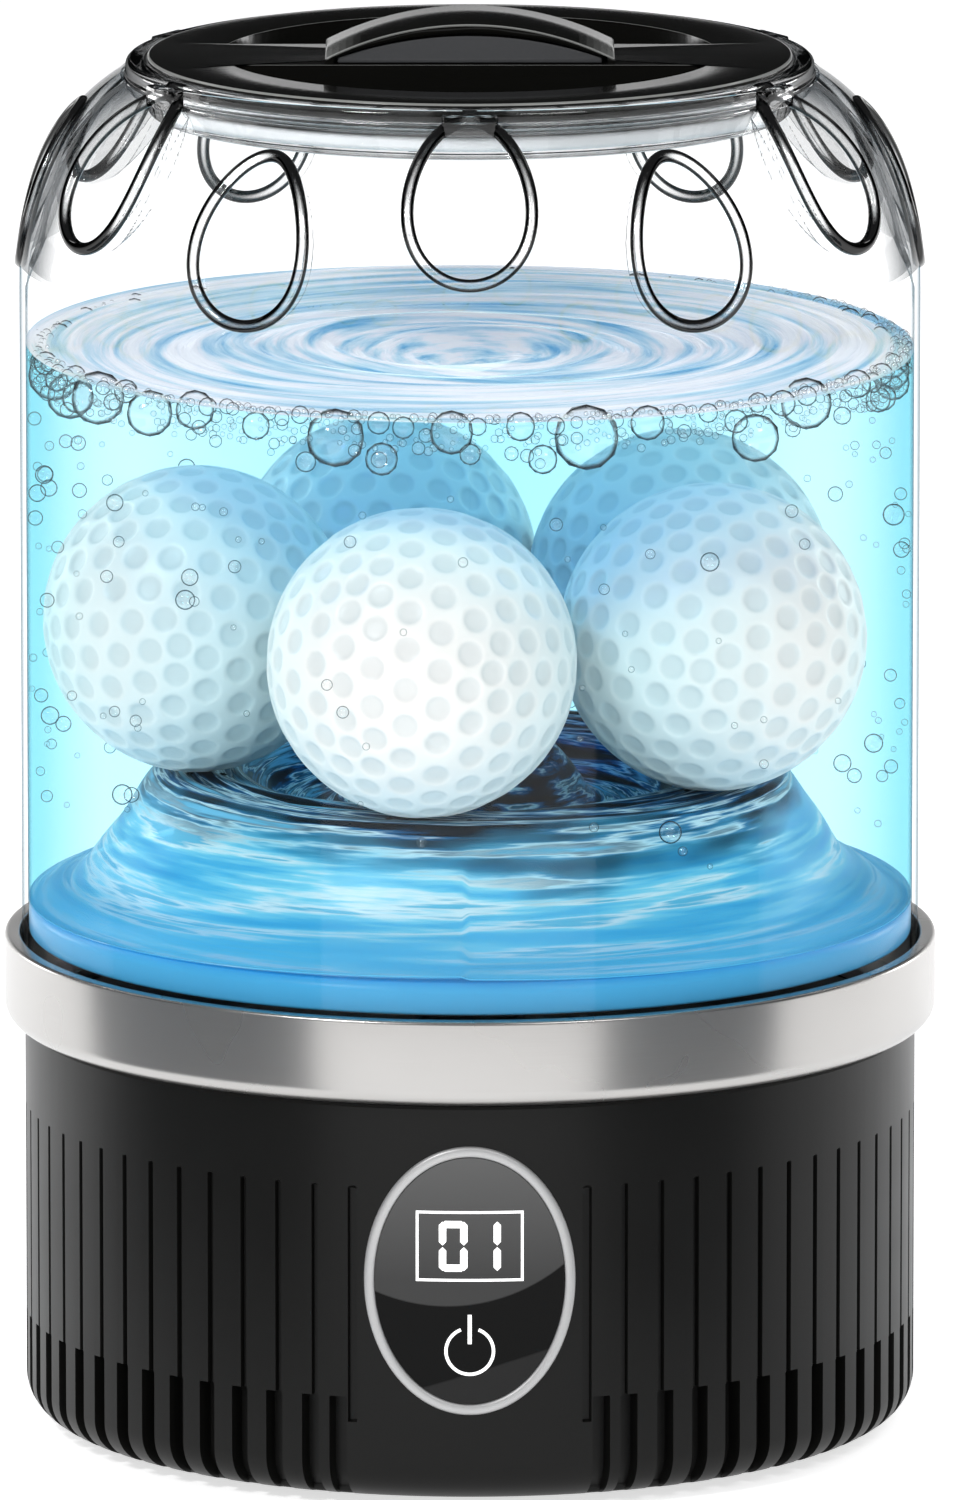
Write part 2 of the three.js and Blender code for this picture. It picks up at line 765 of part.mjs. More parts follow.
function panelLens() {
  const clear = 2 * (bezelBand + fit);
  return frontPrism(ellipse(panelWidth - clear, panelHeight - clear, panelCentre), lensBack - overrun,
    lensFront + overrun, panelSteps).intersect(wallSlice(lensBack, lensFront));
}

function panelBoard() {
  const half = panelWidth / 2 - panelBoardSideRoom;
  const halfHeight = panelHeight / 2 - panelBoardEndRoom;
  return block(-half, half, -panelBoardSetback, -panelBoardSetback + boardThickness,
    panelCentre - halfHeight, panelCentre + halfHeight);
}

// How far out a flat-fronted piece of this half width reaches behind the curved lens.
function behindLens(halfWidth) {
  return Math.sqrt(lensBack * lensBack - halfWidth * halfWidth) - fit;
}

function displayModule() {
  const half = displayWidth / 2;
  return block(-half, half, -behindLens(half), -panelBoardSetback - fit,
    displayCentre - displayHeight / 2, displayCentre + displayHeight / 2);
}

function touchPad() {
  const outline = ellipse(2 * touchPadRadius, 2 * touchPadRadius, touchPadCentre);
  return frontPrism(outline, panelBoardSetback + fit, behindLens(touchPadRadius), touchPadSteps);
}

// Dog coupling

function dogLugs(bottom, top, firstDegrees) {
  const lugs = [];
  for (let i = 0; i < dogLugCount; i += 1) {
    const middle = firstDegrees + (360 / dogLugCount) * i;
    lugs.push(plate(sector(dogInnerRadius, dogRadius, dogLugDegrees / 2, middle), bottom, top, lugSteps));
  }
  return lugs;
}

function motorShaft() {
  return disc(motorShaftRadius, motorTop - motorShaftDepth + fit, dogPlateTop - fit, screwFacets);
}

function driveDog() {
  const body = disc(dogRadius, dogBottom, dogPlateTop + fit, smallFacets)
    .subtract(tube(dogInnerRadius, dogRadius + overrun, dogPlateTop, dogPlateTop + overrun, smallFacets));
  const bore = disc(motorShaftRadius + fit, dogBottom - overrun, dogPlateTop, smallFacets);
  const lugs = dogLugs(dogPlateTop - dogPlate / 2, dogPlateTop + dogLugHeight, 0);
  return addAll(body.subtract(bore), lugs);
}

function drivenDog() {
  const bore = shaftRadius + fit;
  const body = tube(bore, dogRadius, upperPlateBottom, upperPlateBottom + dogPlate, smallFacets);
  return addAll(body, dogLugs(upperLugBottom, upperPlateBottom + dogPlate / 2, 180 / dogLugCount));
}

// Clear cup

function domeOutline() {
  const last = THREE.MathUtils.radToDeg(neckAngle);
  return arc(domeCentreRadius, cupStraightTop, domeReach, domeHeight, 0, last, domeSteps);
}

function domeRadiusAt(height) {
  return domeCentreRadius + domeReach * Math.sqrt(1 - ((height - cupStraightTop) / domeHeight) ** 2);
}

function cupTurning() {
  const collarInner = lidRadius + fit;
  const tubeOuter = mouthRadius + mouthTubeWall;
  const ledgeRadius = cupInnerRadius - cupLedgeWidth;
  const tubeAngle = Math.acos((tubeOuter - domeCentreRadius) / domeInnerReach);
  const inner = arc(domeCentreRadius, cupStraightTop, domeInnerReach, domeInnerHeight,
    THREE.MathUtils.radToDeg(tubeAngle), 0, domeInnerSteps);
  return turned([
    [cupInnerRadius, cupBottom],
    [cupRadius, cupBottom],
    ...domeOutline(),
    [collarRadius, neckLevel + collarInset - fit],
    [collarRadius, collarTop - collarChamfer],
    [collarRadius - collarChamfer, collarTop],
    [collarInner, collarTop],
    [collarInner, ledgeLevel],
    [mouthRadius, ledgeLevel],
    [mouthRadius, ledgeLevel - mouthTubeLength],
    [tubeOuter, ledgeLevel - mouthTubeLength],
    ...inner,
    [cupInnerRadius, cupLedgeTop],
    [ledgeRadius, cupLedgeTop],
    [ledgeRadius, cupLedgeTop - cupLedgeHeight],
    [cupInnerRadius, cupLedgeTop - cupLedgeHeight - cupLedgeWidth],
  ], cupFacets);
}

function filledDome() {
  const bottom = cupStraightTop - recessLength;
  const tubeOuter = mouthRadius + mouthTubeWall;
  const tubeBottom = ledgeLevel - mouthTubeLength;
  return turned([
    [0, bottom],
    [cupRadius, bottom],
    ...domeOutline(),
    [tubeOuter, neckLevel],
    [tubeOuter, tubeBottom],
    [0, tubeBottom],
  ], cupFacets);
}

// An egg outline, narrower at its upper end, grown by a margin all round.
function egg(length, margin) {
  const points = [];
  for (let i = 0; i < recessSteps; i += 1) {
    const angle = (2 * Math.PI * i) / recessSteps;
    const taper = 1 + recessTaperShare * Math.cos(angle);
    const across = (recessWidth / 2 + margin) * taper * Math.sin(angle);
    points.push(new THREE.Vector2(across, -(length / 2 + margin) * Math.cos(angle)));
  }
  return new THREE.Shape(points);
}

// A prism on the recess floor, leaning back with it, from behind the floor to in front of it.
function recessPrism(shape, behind, ahead, centre, sink, tilt, degrees) {
  const geometry = new THREE.ExtrudeGeometry(shape, { depth: behind + ahead, bevelEnabled: false });
  geometry.translate(0, 0, -behind);
  geometry.rotateX(rad(90 - tilt));
  return moved(geometry, 0, -(domeRadiusAt(centre) - sink), centre, degrees);
}

function recesses() {
  const list = [];
  const highLength = recessLength + highRecessStretch;
  for (let i = 0; i < recessPairs; i += 1) {
    const step = (360 / recessPairs) * i;
    const between = step + 180 / recessPairs;
    list.push([highRecessCentre, highRecessSink, highRecessTiltDegrees, highLength, step]);
    list.push([lowRecessCentre, lowRecessSink, lowRecessTiltDegrees, recessLength, between]);
  }
  return list;
}

function cupShell() {
  const dome = filledDome();
  const ahead = recessWidth / 2;
  let body = cupTurning();
  for (const [centre, sink, tilt, length, degrees] of recesses()) {
    const boss = recessPrism(egg(length, recessRim), recessFloor, ahead, centre, sink, tilt, degrees);
    body = body.add(boss.intersect(dome));
  }
  for (const [centre, sink, tilt, length, degrees] of recesses()) {
    body = body.subtract(recessPrism(egg(length, 0), 0, ahead, centre, sink, tilt, degrees));
  }
  return body;
}

function cupFloor() {
  const rim = cupInnerRadius - fit;
  const grooveLow = cupFloorBottom + (cupFloorThickness - sealGrooveWidth) / 2;
  const ledge = cupFloorBottom + bushLedge;
  return turned([
    [bushRadius + fit - bushLedgeWidth, cupFloorBottom],
    [rim, cupFloorBottom],
    [rim, grooveLow],
    [rim - sealGrooveDepth, grooveLow],
    [rim - sealGrooveDepth, grooveLow + sealGrooveWidth],
    [rim, grooveLow + sealGrooveWidth],
    [rim, cupFloorTop],
    [hubBossRadius, cupFloorTop],
    [hubBossRadius, hubTop],
    [bushRadius + fit, hubTop],
    [bushRadius + fit, ledge],
    [bushRadius + fit - bushLedgeWidth, ledge],
  ], mediumFacets);
}

function floorSeal() {
  const middle = cupInnerRadius - fit - sealGrooveDepth + fit + sealSection;
  const level = cupFloorBottom + cupFloorThickness / 2;
  const last = 360 - 360 / sealSides;
  return turned(arc(middle, level, sealSection, sealSection, 0, last, sealSides - 1), mediumFacets);
}

function bearingBush() {
  const bottom = cupFloorBottom + bushLedge + fit;
  return tube(shaftRadius + fit, bushRadius, bottom, bottom + bushLength, smallFacets);
}

function shaftSeal() {
  return turned([
    [shaftRadius + fit, hubTop - shaftSealLength],
    [bushRadius, hubTop - shaftSealLength],
    [bushRadius, hubTop],
    [bushRadius - sealSection, hubTop],
    [shaftRadius + fit, hubTop - sealSection],
  ], smallFacets);
}

// Agitator

function driveShaft() {
  return disc(shaftRadius, upperPlateBottom, shaftTop, smallFacets);
}

function onCircle(radius, angle) {
  return new THREE.Vector2(radius * Math.cos(angle), radius * Math.sin(angle));
}

// A curved vane from the hub outwards, as an outline of even thickness along a spiral.
function vane(degrees) {
  const left = [];
  const right = [];
  const start = impellerHubRadius - vaneThickness;
  for (let i = 0; i <= vaneSteps; i += 1) {
    const share = i / vaneSteps;
    const radius = start + (vaneReach - start) * share;
    const angle = rad(vaneSweepDegrees * share);
    const spread = vaneThickness / (2 * radius);
    left.push(onCircle(radius, angle + spread));
    right.unshift(onCircle(radius, angle - spread));
  }
  return plate(new THREE.Shape([...right, ...left]), impellerPlateTop - impellerPlate / 2,
    impellerPlateTop + vaneHeight, 1, degrees);
}

function impeller() {
  const body = turned([
    [shaftRadius + fit, impellerBottom],
    [impellerHubRadius, impellerBottom],
    [impellerHubRadius, impellerPlateBottom],
    [impellerRadius, impellerPlateBottom],
    [impellerRadius, impellerPlateTop],
    [impellerHubRadius, impellerPlateTop],
    [impellerHubRadius, impellerHubTop],
    [shaftRadius + fit, impellerHubTop],
  ], mediumFacets);
  const vanes = [];
  for (let i = 0; i < vaneCount; i += 1) vanes.push(vane((360 / vaneCount) * i));
  const bore = disc(shaftRadius + fit, impellerBottom - overrun, impellerHubTop + overrun, mediumFacets);
  return addAll(body, vanes).subtract(bore);
}

function scrubPad() {
  const nubs = nubInsets.flatMap((inset, row) => {
    const list = [];
    for (let i = 0; i < nubCounts[row]; i += 1) {
      list.push(peg(nubRadius, nubTipRadius, padTop - padThickness / 2, padTop + nubHeight,
        impellerRadius - inset, (360 / nubCounts[row]) * i, nubFacets));
    }
    return list;
  });
  return addAll(tube(padInnerRadius, impellerRadius - fit, padBottom, padTop, mediumFacets), nubs);
}

function agitatorCap() {
  const bottom = impellerHubTop + fit;
  const top = bottom + capHeight;
  const dome = arc(0, top - capTipRadius, capTipRadius, capTipRadius, 0, 90, capSteps).slice(0, -1);
  const body = turned([[0, bottom], [capRadius, bottom], ...dome, [0, top]], smallFacets);
  const half = capFinThickness / 2;
  const fins = [];
  for (let i = 0; i < capFins; i += 1) {
    fins.push(block(-half, half, -capFinReach, 0, bottom, bottom + capFinHeight, (360 / capFins) * i));
  }
  const bore = disc(shaftRadius + fit, bottom - overrun, shaftTop + fit, smallFacets);
  return addAll(body, fins).subtract(bore);
}

function golfBall(name, degrees) {
  const sphere = new THREE.SphereGeometry(ballRadius, smallFacets, ballBands);
  const mesh = piece(name, solid(sphere), ballWhite());
  mesh.position.set(ballCircle * Math.sin(rad(degrees)), -ballCircle * Math.cos(rad(degrees)), ballCentre);
  return mesh;
}

// Lid

function well(edge, front) {
  const half = Math.acos(edge / wellRadius);
  const middle = front ? -Math.PI / 2 : Math.PI / 2;
  const shape = new THREE.Shape();
  shape.absarc(0, 0, wellRadius, middle - half, middle + half, false);
  return shape;
}

function arch(halfWidth, foot, height, base) {
  const rise = height - foot;
  const radius = (halfWidth * halfWidth + rise * rise) / (2 * rise);
  const half = Math.asin(halfWidth / radius);
  const shape = new THREE.Shape();
  shape.moveTo(-halfWidth, base);
  shape.lineTo(halfWidth, base);
  shape.absarc(0, lidTop + height - radius, radius, Math.PI / 2 - half, Math.PI / 2 + half, false);
  return shape;
}

// A thin disc with a shallow tray under it, in which the two finger wells are sunk.
function lidPlate() {
  const trayBottom = flangeBottom - trayDepth;
  const body = turned([
    [0, trayBottom],
    [trayRadius - fit, trayBottom],
    [trayRadius, trayBottom + fit],
    [trayRadius, flangeBottom],
    [lidRadius, flangeBottom],
    [lidRadius, lidTop - lidEdge],
    [lidRadius - lidEdge, lidTop],
    [0, lidTop],
  ], largeFacets);
  const floor = trayBottom + trayFloor;
  const frontWell = plate(well(gripFront + gripGap, true), floor, lidTop + overrun, wellSteps);
  const rearWell = plate(well(gripRear + gripGap, false), floor, lidTop + overrun, wellSteps);
  const seat = block(-gripHalfWidth - fit, gripHalfWidth + fit, -gripFront - fit, gripRear + fit,
    lidTop - gripSeat, lidTop + overrun);
  return cutAll(body, [frontWell, rearWell, seat]);
}

// The clear ring under the disc that carries the seal into the cup's mouth.
function lidPlug() {
  const inner = trayRadius + plugTrayGap;
  const bottom = flangeBottom - plugDepth;
  const grooveTopLevel = ledgeLevel - lidSealSeat;
  const grooveBottomLevel = grooveTopLevel - lidSealHeight - 2 * fit;
  const grooveRadius = plugRadius - lidSealDepth;
  return turned([
    [inner, bottom],
    [plugRadius - fit, bottom],
    [plugRadius, bottom + fit],
    [plugRadius, grooveBottomLevel],
    [grooveRadius, grooveBottomLevel],
    [grooveRadius, grooveTopLevel],
    [plugRadius, grooveTopLevel],
    [plugRadius, ledgeLevel],
    [inner, ledgeLevel],
  ], largeFacets);
}

function lidGrip() {
  const base = lidTop - gripSeat + fit;
  const outline = arch(gripHalfWidth, gripFoot, gripHeight, base);
  const inset = arch(gripHalfWidth - insertRim, gripFoot, gripHeight - insertRim, lidTop + gripFoot - fit);
  return frontPrism(outline, -gripRear, gripFront, archSteps)
    .subtract(frontPrism(inset, gripFront - insertDepth, gripFront + overrun, archSteps));
}

function gripInsert() {
  const rim = insertRim + fit;
  const face = arch(gripHalfWidth - rim, gripFoot, gripHeight - rim, lidTop + gripFoot);
  return frontPrism(face, gripFront - insertDepth + fit, gripFront - fit, archSteps);
}

function lidSeal() {
  const top = ledgeLevel - lidSealSeat - fit;
  const inner = plugRadius - lidSealDepth + fit;
  const outer = mouthRadius - fit;
  const chamfer = lidSealNotch / 2;
  return turned([
    [inner, top - lidSealHeight],
    [outer - chamfer, top - lidSealHeight],
    [outer, top - lidSealHeight + lidSealNotch],
    [outer, top - lidSealNotch],
    [outer - chamfer, top],
    [inner, top],
  ], largeFacets);
}

// The washer, one group for each set of pieces that moves together

function group(...parts) {
  const set = new THREE.Group();
  set.add(...parts);
  return set;
}

const base = group(
  piece('base_shell', baseShell(), blackPlastic()),
  piece('base_floor', baseFloor(), blackPlastic()),
  ...footDegrees.map((angle, i) => rubberFoot(`foot_${i + 1}`, angle)),
  ...screwDegrees.map((angle, i) => placedScrew(`floor_screw_${i + 1}`, floorScrewLength,
    screwCircle, angle, feetShow + screwHeadHeight, false)),
  piece('trim_ring', trimRing(), satinSilver()),
  piece('splash_deck', splashDeck(), blackPlastic()),
  piece('deck_seal', deckSeal(), darkRubber()),
  piece('motor_can', motorCan(), steel()),
  piece('motor_bracket', motorBracket(), steel()),
  ...motorBoltDegrees.map((angle, i) => placedScrew(`motor_bolt_${i + 1}`, motorBoltLength,
    motorBoltCircle, angle, bracketTop + fit, true)),
  ...bracketScrewDegrees.map((angle, i) => placedScrew(`bracket_screw_${i + 1}`, bracketScrewLength,
    bracketScrewCircle, angle, bracketBottom - fit, false)),
  ...[-1, 1].flatMap((side) => {
    const word = side < 0 ? 'left' : 'right';
    return [
      piece(`battery_cell_${word}`, batteryCell(side), cellWrap()),
      piece(`battery_cradle_${word}`, batteryCradle(side), greyPlastic()),
    ];
  }),
  piece('main_board', mainBoard(), boardGreen()),
  piece('charging_socket', chargingSocket(), steel()),
  piece('panel_bezel', panelBezel(), brightSilver()),
  piece('panel_lens', panelLens(), glossBlack()),
  piece('panel_board', panelBoard(), boardGreen()),
  piece('display_module', displayModule(), glossBlack()),
  piece('touch_pad', touchPad(), greyRubber()),
);

const motorRotor = group(
  piece('motor_shaft', motorShaft(), steel()),
  piece('drive_dog', driveDog(), greyPlastic()),
);

const flap = group(piece('port_flap', portFlap(), darkRubber()));

const agitator = group(
  piece('drive_shaft', driveShaft(), steel()),
  piece('driven_dog', drivenDog(), greyPlastic()),
  piece('impeller', impeller(), blackPlastic()),
  piece('scrub_pad', scrubPad(), darkRubber()),
  piece('agitator_cap', agitatorCap(), blackPlastic()),
);

const balls = group(...ballDegrees.map((angle, i) => golfBall(`ball_${i + 1}`, angle)));

const lid = group(
  piece('lid_seal', lidSeal(), greyRubber()),
  piece('lid_plate', lidPlate(), glossBlack()),
  piece('lid_plug', lidPlug(), clearPlastic()),
  piece('lid_grip', lidGrip(), blackPlastic()),
  piece('grip_insert', gripInsert(), glossBlack()),
);

const cup = group(
  piece('cup_shell', cupShell(), clearPlastic()),
  piece('cup_floor', cupFloor(), clearPlastic()),
  piece('floor_seal', floorSeal(), greyRubber()),
  piece('bearing_bush', bearingBush(), bronze()),
  piece('shaft_seal', shaftSeal(), darkRubber()),
  agitator,
  balls,
  lid,
);

export default group(base, motorRotor, flap, cup);
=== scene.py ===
# %% [markdown]
# # A golf ball washer, dressed in Blender
# The washer's working parts already exist as solids in a frame that must not move. This lesson
# makes the surfaces that the eye sees: a clear cup full of water, five dimpled balls, a metal ring,
# a ribbed black casing and a glossy control panel. Every length below is in real millimetres, and
# MM turns it into Blender's metres, so each piece lands where the frame says.

import json
import math
import random

import bmesh
import bpy
import numpy as np
from mathutils import Euler, Matrix, Vector


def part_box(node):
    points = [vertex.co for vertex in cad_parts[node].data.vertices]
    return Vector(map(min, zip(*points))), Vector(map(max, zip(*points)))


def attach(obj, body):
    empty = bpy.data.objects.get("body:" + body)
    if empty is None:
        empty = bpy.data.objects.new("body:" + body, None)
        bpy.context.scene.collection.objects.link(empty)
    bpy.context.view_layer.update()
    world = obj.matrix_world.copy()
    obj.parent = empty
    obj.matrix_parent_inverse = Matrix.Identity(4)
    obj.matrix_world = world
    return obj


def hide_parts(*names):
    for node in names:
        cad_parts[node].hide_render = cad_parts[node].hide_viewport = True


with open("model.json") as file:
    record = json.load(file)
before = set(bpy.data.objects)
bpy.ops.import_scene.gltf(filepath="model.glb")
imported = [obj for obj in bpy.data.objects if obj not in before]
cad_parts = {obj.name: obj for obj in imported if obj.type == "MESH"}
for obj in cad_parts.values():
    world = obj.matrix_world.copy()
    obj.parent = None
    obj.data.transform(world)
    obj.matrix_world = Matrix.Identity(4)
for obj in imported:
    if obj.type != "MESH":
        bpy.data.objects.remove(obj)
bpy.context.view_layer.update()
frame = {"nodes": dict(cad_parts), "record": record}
MM = 0.001

# %% [markdown]
# ## Measures
# The frame gives the box of every solid. A turned solid's box is its diameter, so most radii and
# levels can be read from it, and the dressed pieces follow if the solids change.

# %% Read sizes from the frame
def low(node):
    """The lowest corner of a frame node, in millimetres."""
    return [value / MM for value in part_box(node)[0]]


def high(node):
    """The highest corner of a frame node, in millimetres."""
    return [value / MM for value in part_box(node)[1]]


def middle_of(node):
    """The middle of a frame node, in millimetres."""
    return [(a + b) / 2 for a, b in zip(low(node), high(node))]


def half_size(node, axis):
    """Half of a frame node's size along an axis, in millimetres."""
    return (high(node)[axis] - low(node)[axis]) / 2


CASING_R, CASING_FILLET = 62.15, 5.5
CASING_BOTTOM, CASING_TOP = low("base_shell")[2], high("base_shell")[2]
RING_R = half_size("trim_ring", 0)
RING_BOTTOM, RING_TOP = low("trim_ring")[2], high("trim_ring")[2]
CUP_R = 62.5
CUP_BOTTOM, CUP_TOP = low("cup_shell")[2], high("cup_shell")[2]
CUP_FLOOR_TOP = high("floor_seal")[2] + 1.4
LID_R, LID_TOP = 44.7, high("lid_plate")[2]
print("casing", CASING_BOTTOM, CASING_TOP, "ring", RING_BOTTOM, RING_TOP, "lid", LID_TOP)

# %% [markdown]
# ## Camera
# The photo looks slightly down on the washer from far away with a long lens, which keeps its
# sides almost parallel. The focal length follows from how many pixels one millimetre takes.

# %% Set the camera
PHOTO_WIDTH_PX, PHOTO_HEIGHT_PX, AXIS_PX, PX_PER_MM = 971, 1500, 470, 7.174
SENSOR = 36
EYE_BACK, EYE_HIGH, AIM_HIGH = 2640, 609.1, 94.6
scene = bpy.context.scene


def add_object(name, data):
    """A new object in the scene for a mesh, a lamp or a camera."""
    made = bpy.data.objects.new(name, data)
    scene.collection.objects.link(made)
    return made


eye_distance = math.hypot(EYE_BACK, EYE_HIGH - AIM_HIGH)
lens = bpy.data.cameras.new("photo_camera")
lens.sensor_fit = "VERTICAL"
lens.sensor_height = SENSOR
lens.lens = SENSOR * PX_PER_MM * eye_distance / PHOTO_HEIGHT_PX
lens.clip_end = 20
camera = add_object("photo_camera", lens)
camera.location = ((PHOTO_WIDTH_PX / 2 - AXIS_PX) / PX_PER_MM * MM, -EYE_BACK * MM, EYE_HIGH * MM)
camera.rotation_euler = (math.pi / 2 - math.atan2(EYE_HIGH - AIM_HIGH, EYE_BACK), 0, 0)
scene.camera = camera
scene.view_settings.view_transform = "Standard"
scene.cycles.transparent_max_bounces = 32
scene.cycles.transmission_bounces = scene.cycles.max_bounces = 16
print("lens", round(lens.lens, 1), "mm at", round(eye_distance), "mm")

# %% [markdown]
# ## Floor and light
# A product photo of clear plastic is lit so that a white background shines through the cup, while
# dark cards round the washer give the metal ring its dark bands and keep the glossy lid black.
# The sky is pale near the horizon and grey above it. A lamp high up on the left shades the dimples
# of the balls without leaving a glare on the black casing.

# %% Make the floor, the sky and the lamps
FLOOR_HALF = 6000
MIDDLE = (0, 0, 100)


def linear(code):
    """An sRGB hex colour such as #8fe0ff as linear red, green, blue and alpha."""
    channels = [int(code[i:i + 2], 16) / 255 for i in (1, 3, 5)]
    return [c / 12.92 if c <= 0.04045 else ((c + 0.055) / 1.055) ** 2.4 for c in channels] + [1.0]


def put(tree, kind, inputs=None, stops=(), **settings):
    """Adds one node with its settings, input values, links and colour stops. A node given as an
    input stands for its first output in use, and a hex code for its colour."""
    node = tree.nodes.new("ShaderNode" + kind)
    for name, value in settings.items():
        setattr(node, name, value)
    for name, value in (inputs or {}).items():
        if isinstance(value, bpy.types.Node):
            value = next(output for output in value.outputs if output.enabled)
        if isinstance(value, bpy.types.NodeSocket):
            tree.links.new(value, node.inputs[name])
        else:
            node.inputs[name].default_value = linear(value) if isinstance(value, str) else value
    for at, colour in stops:
        node.color_ramp.elements.new(at).color = linear(colour)
    for default_end in (0, -1) if stops else ():
        node.color_ramp.elements.remove(node.color_ramp.elements[default_end])
    return node


def new_material(name):
    """An empty node material and its tree."""
    material = bpy.data.materials.new(name)
    material.use_nodes = True
    material.node_tree.nodes.clear()
    return material, material.node_tree


def principled(name, inputs):
    """A material of one shader, with the same values all over."""
    material, tree = new_material(name)
    put(tree, "OutputMaterial", {"Surface": put(tree, "BsdfPrincipled", inputs)})
    return material


def add_stage(name, points, faces, material):
    """A sheet that isn't part of the washer, from points in millimetres."""
    mesh = bpy.data.meshes.new(name)
    mesh.from_pydata([[value * MM for value in point] for point in points], [], faces)
    mesh.materials.append(material)
    sheet = add_object(name, mesh)
    return sheet


def make_sky():
    """Pale near the horizon and grey above it, so that upright faces are brighter than flat ones."""
    world = scene.world = bpy.data.worlds.new("studio")
    world.use_nodes = True
    tree = world.node_tree
    tree.nodes.clear()
    parts = put(tree, "SeparateXYZ", {"Vector": put(tree, "TexCoord").outputs["Generated"]})
    tone = put(tree, "ValToRGB", {"Fac": parts.outputs["Z"]}, ((0.12, "#f6f6f6"), (0.6, "#7a7b7d")))
    put(tree, "OutputWorld", {"Surface": put(tree, "Background", {"Color": tone, "Strength": 1.0})})


def add_lamp(name, place, width, height, power):
    """A soft rectangular lamp, turned towards the washer's middle, in millimetres."""
    data = bpy.data.lights.new(name, "AREA")
    data.shape = "RECTANGLE"
    data.size, data.size_y, data.energy = width * MM, height * MM, power
    lamp = add_object(name, data)
    lamp.location = [value * MM for value in place]
    lamp.rotation_euler = (Vector(MIDDLE) - Vector(place)).to_track_quat("-Z", "Y").to_euler()


def add_card(name, radius, start, end, bottom, top, shade):
    """A dark card bent round the washer. Only glossy reflections show it, and it casts no shadow."""
    turns = np.radians(np.linspace(start, end, 49))
    points = [(radius * math.sin(t), -radius * math.cos(t), z) for t in turns for z in (bottom, top)]
    faces = [(i, i + 1, i + 3, i + 2) for i in range(0, len(points) - 2, 2)]
    felt = principled(name + "_felt", {"Base Color": shade, "Roughness": 1.0, "Specular IOR Level": 0.0})
    card = add_stage(name, points, faces, felt)
    for kind in ("camera", "diffuse", "shadow", "transmission"):
        setattr(card, "visible_" + kind, False)


corners = [(x * FLOOR_HALF, y * FLOOR_HALF, 0) for x, y in ((-1, -1), (1, -1), (1, 1), (-1, 1))]
add_stage("studio_paper", corners, [(0, 1, 2, 3)], principled("matte_white_paper", {
    "Base Color": "#f4f4f4", "Roughness": 0.9, "Specular IOR Level": 0.1, "Emission Color": "#ffffff",
    "Emission Strength": 0.66}))
make_sky()
add_lamp("key_high_left", (-640, -760, 1000), 260, 260, 6.5)
add_lamp("fill_high_right", (500, -800, 1000), 400, 400, 3.0)
add_lamp("rear_left", (-800, 700, 500), 300, 800, 4)
add_lamp("rear_right", (800, 700, 500), 300, 800, 4)
add_card("card_left", 158, -88, -31, 0.5, 120, "#969799")
add_card("card_right", 158, 26, 66, 0.5, 120, "#969799")
add_card("card_overhead", 600, 0, 360, 225, 560, "#1c1d1e")

# %% [markdown]
# ## Helpers for shapes
# Most pieces are turned, so one function spins a column of points round the axis. Others are
# outlines pushed along a direction, or tubes swept along a path. Meshes are written straight from
# numbers, because that keeps every edge where the real edge is; bevels and cuts come after.

# %% Turn, extrude, sweep and cut
def smooth(mesh, sharp):
    """Shades a mesh smooth and keeps edges above this angle crisp."""
    mesh.polygons.foreach_set("use_smooth", [True] * len(mesh.polygons))
    mesh.set_sharp_from_angle(angle=math.radians(sharp))


def add_mesh(name, points, faces, sharp=35, clean=True):
    """A mesh object from points in millimetres, smooth except across edges sharper than an angle.
    Cleaning merges points that meet and turns every face outwards."""
    mesh = bpy.data.meshes.new(name)
    mesh.from_pydata((np.asarray(points) * MM).tolist(), [], faces)
    if clean:
        work = bmesh.new()
        work.from_mesh(mesh)
        bmesh.ops.remove_doubles(work, verts=work.verts, dist=0.002 * MM)
        bmesh.ops.dissolve_degenerate(work, edges=work.edges, dist=0.001 * MM)
        bmesh.ops.recalc_face_normals(work, faces=work.faces)
        work.to_mesh(mesh)
        work.free()
    smooth(mesh, sharp)
    return add_object(name, mesh)


def around(radius, turn, z):
    """Points at a distance from the Z axis. Turn 0 faces the front and grows to the right."""
    return np.stack(np.broadcast_arrays(radius * np.sin(turn), -radius * np.cos(turn), z), axis=-1)


def skin_faces(columns, count):
    """Faces between neighbouring columns of points, where rows and columns close on themselves."""
    faces = []
    for i in range(columns):
        a, b = i * count, (i + 1) % columns * count
        faces += [(a + j, b + j, b + (j + 1) % count, a + (j + 1) % count) for j in range(count)]
    return faces


def spun(name, turns, column, sharp=35):
    """A closed skin round the axis. column(turn) gives its pairs of radius and height there."""
    points = []
    for turn in turns:
        radius, height = np.transpose(column(turn))
        points.append(around(radius, turn, height))
    return add_mesh(name, np.concatenate(points), skin_faces(len(turns), len(points[0])), sharp)


def full_turn(steps):
    """Evenly spaced turns round the axis."""
    return np.linspace(0, 2 * math.pi, steps, endpoint=False)


def turned(name, profile, steps=192, sharp=40):
    """Spins one closed profile of radius and height pairs round the axis."""
    return spun(name, full_turn(steps), lambda turn: profile, sharp)


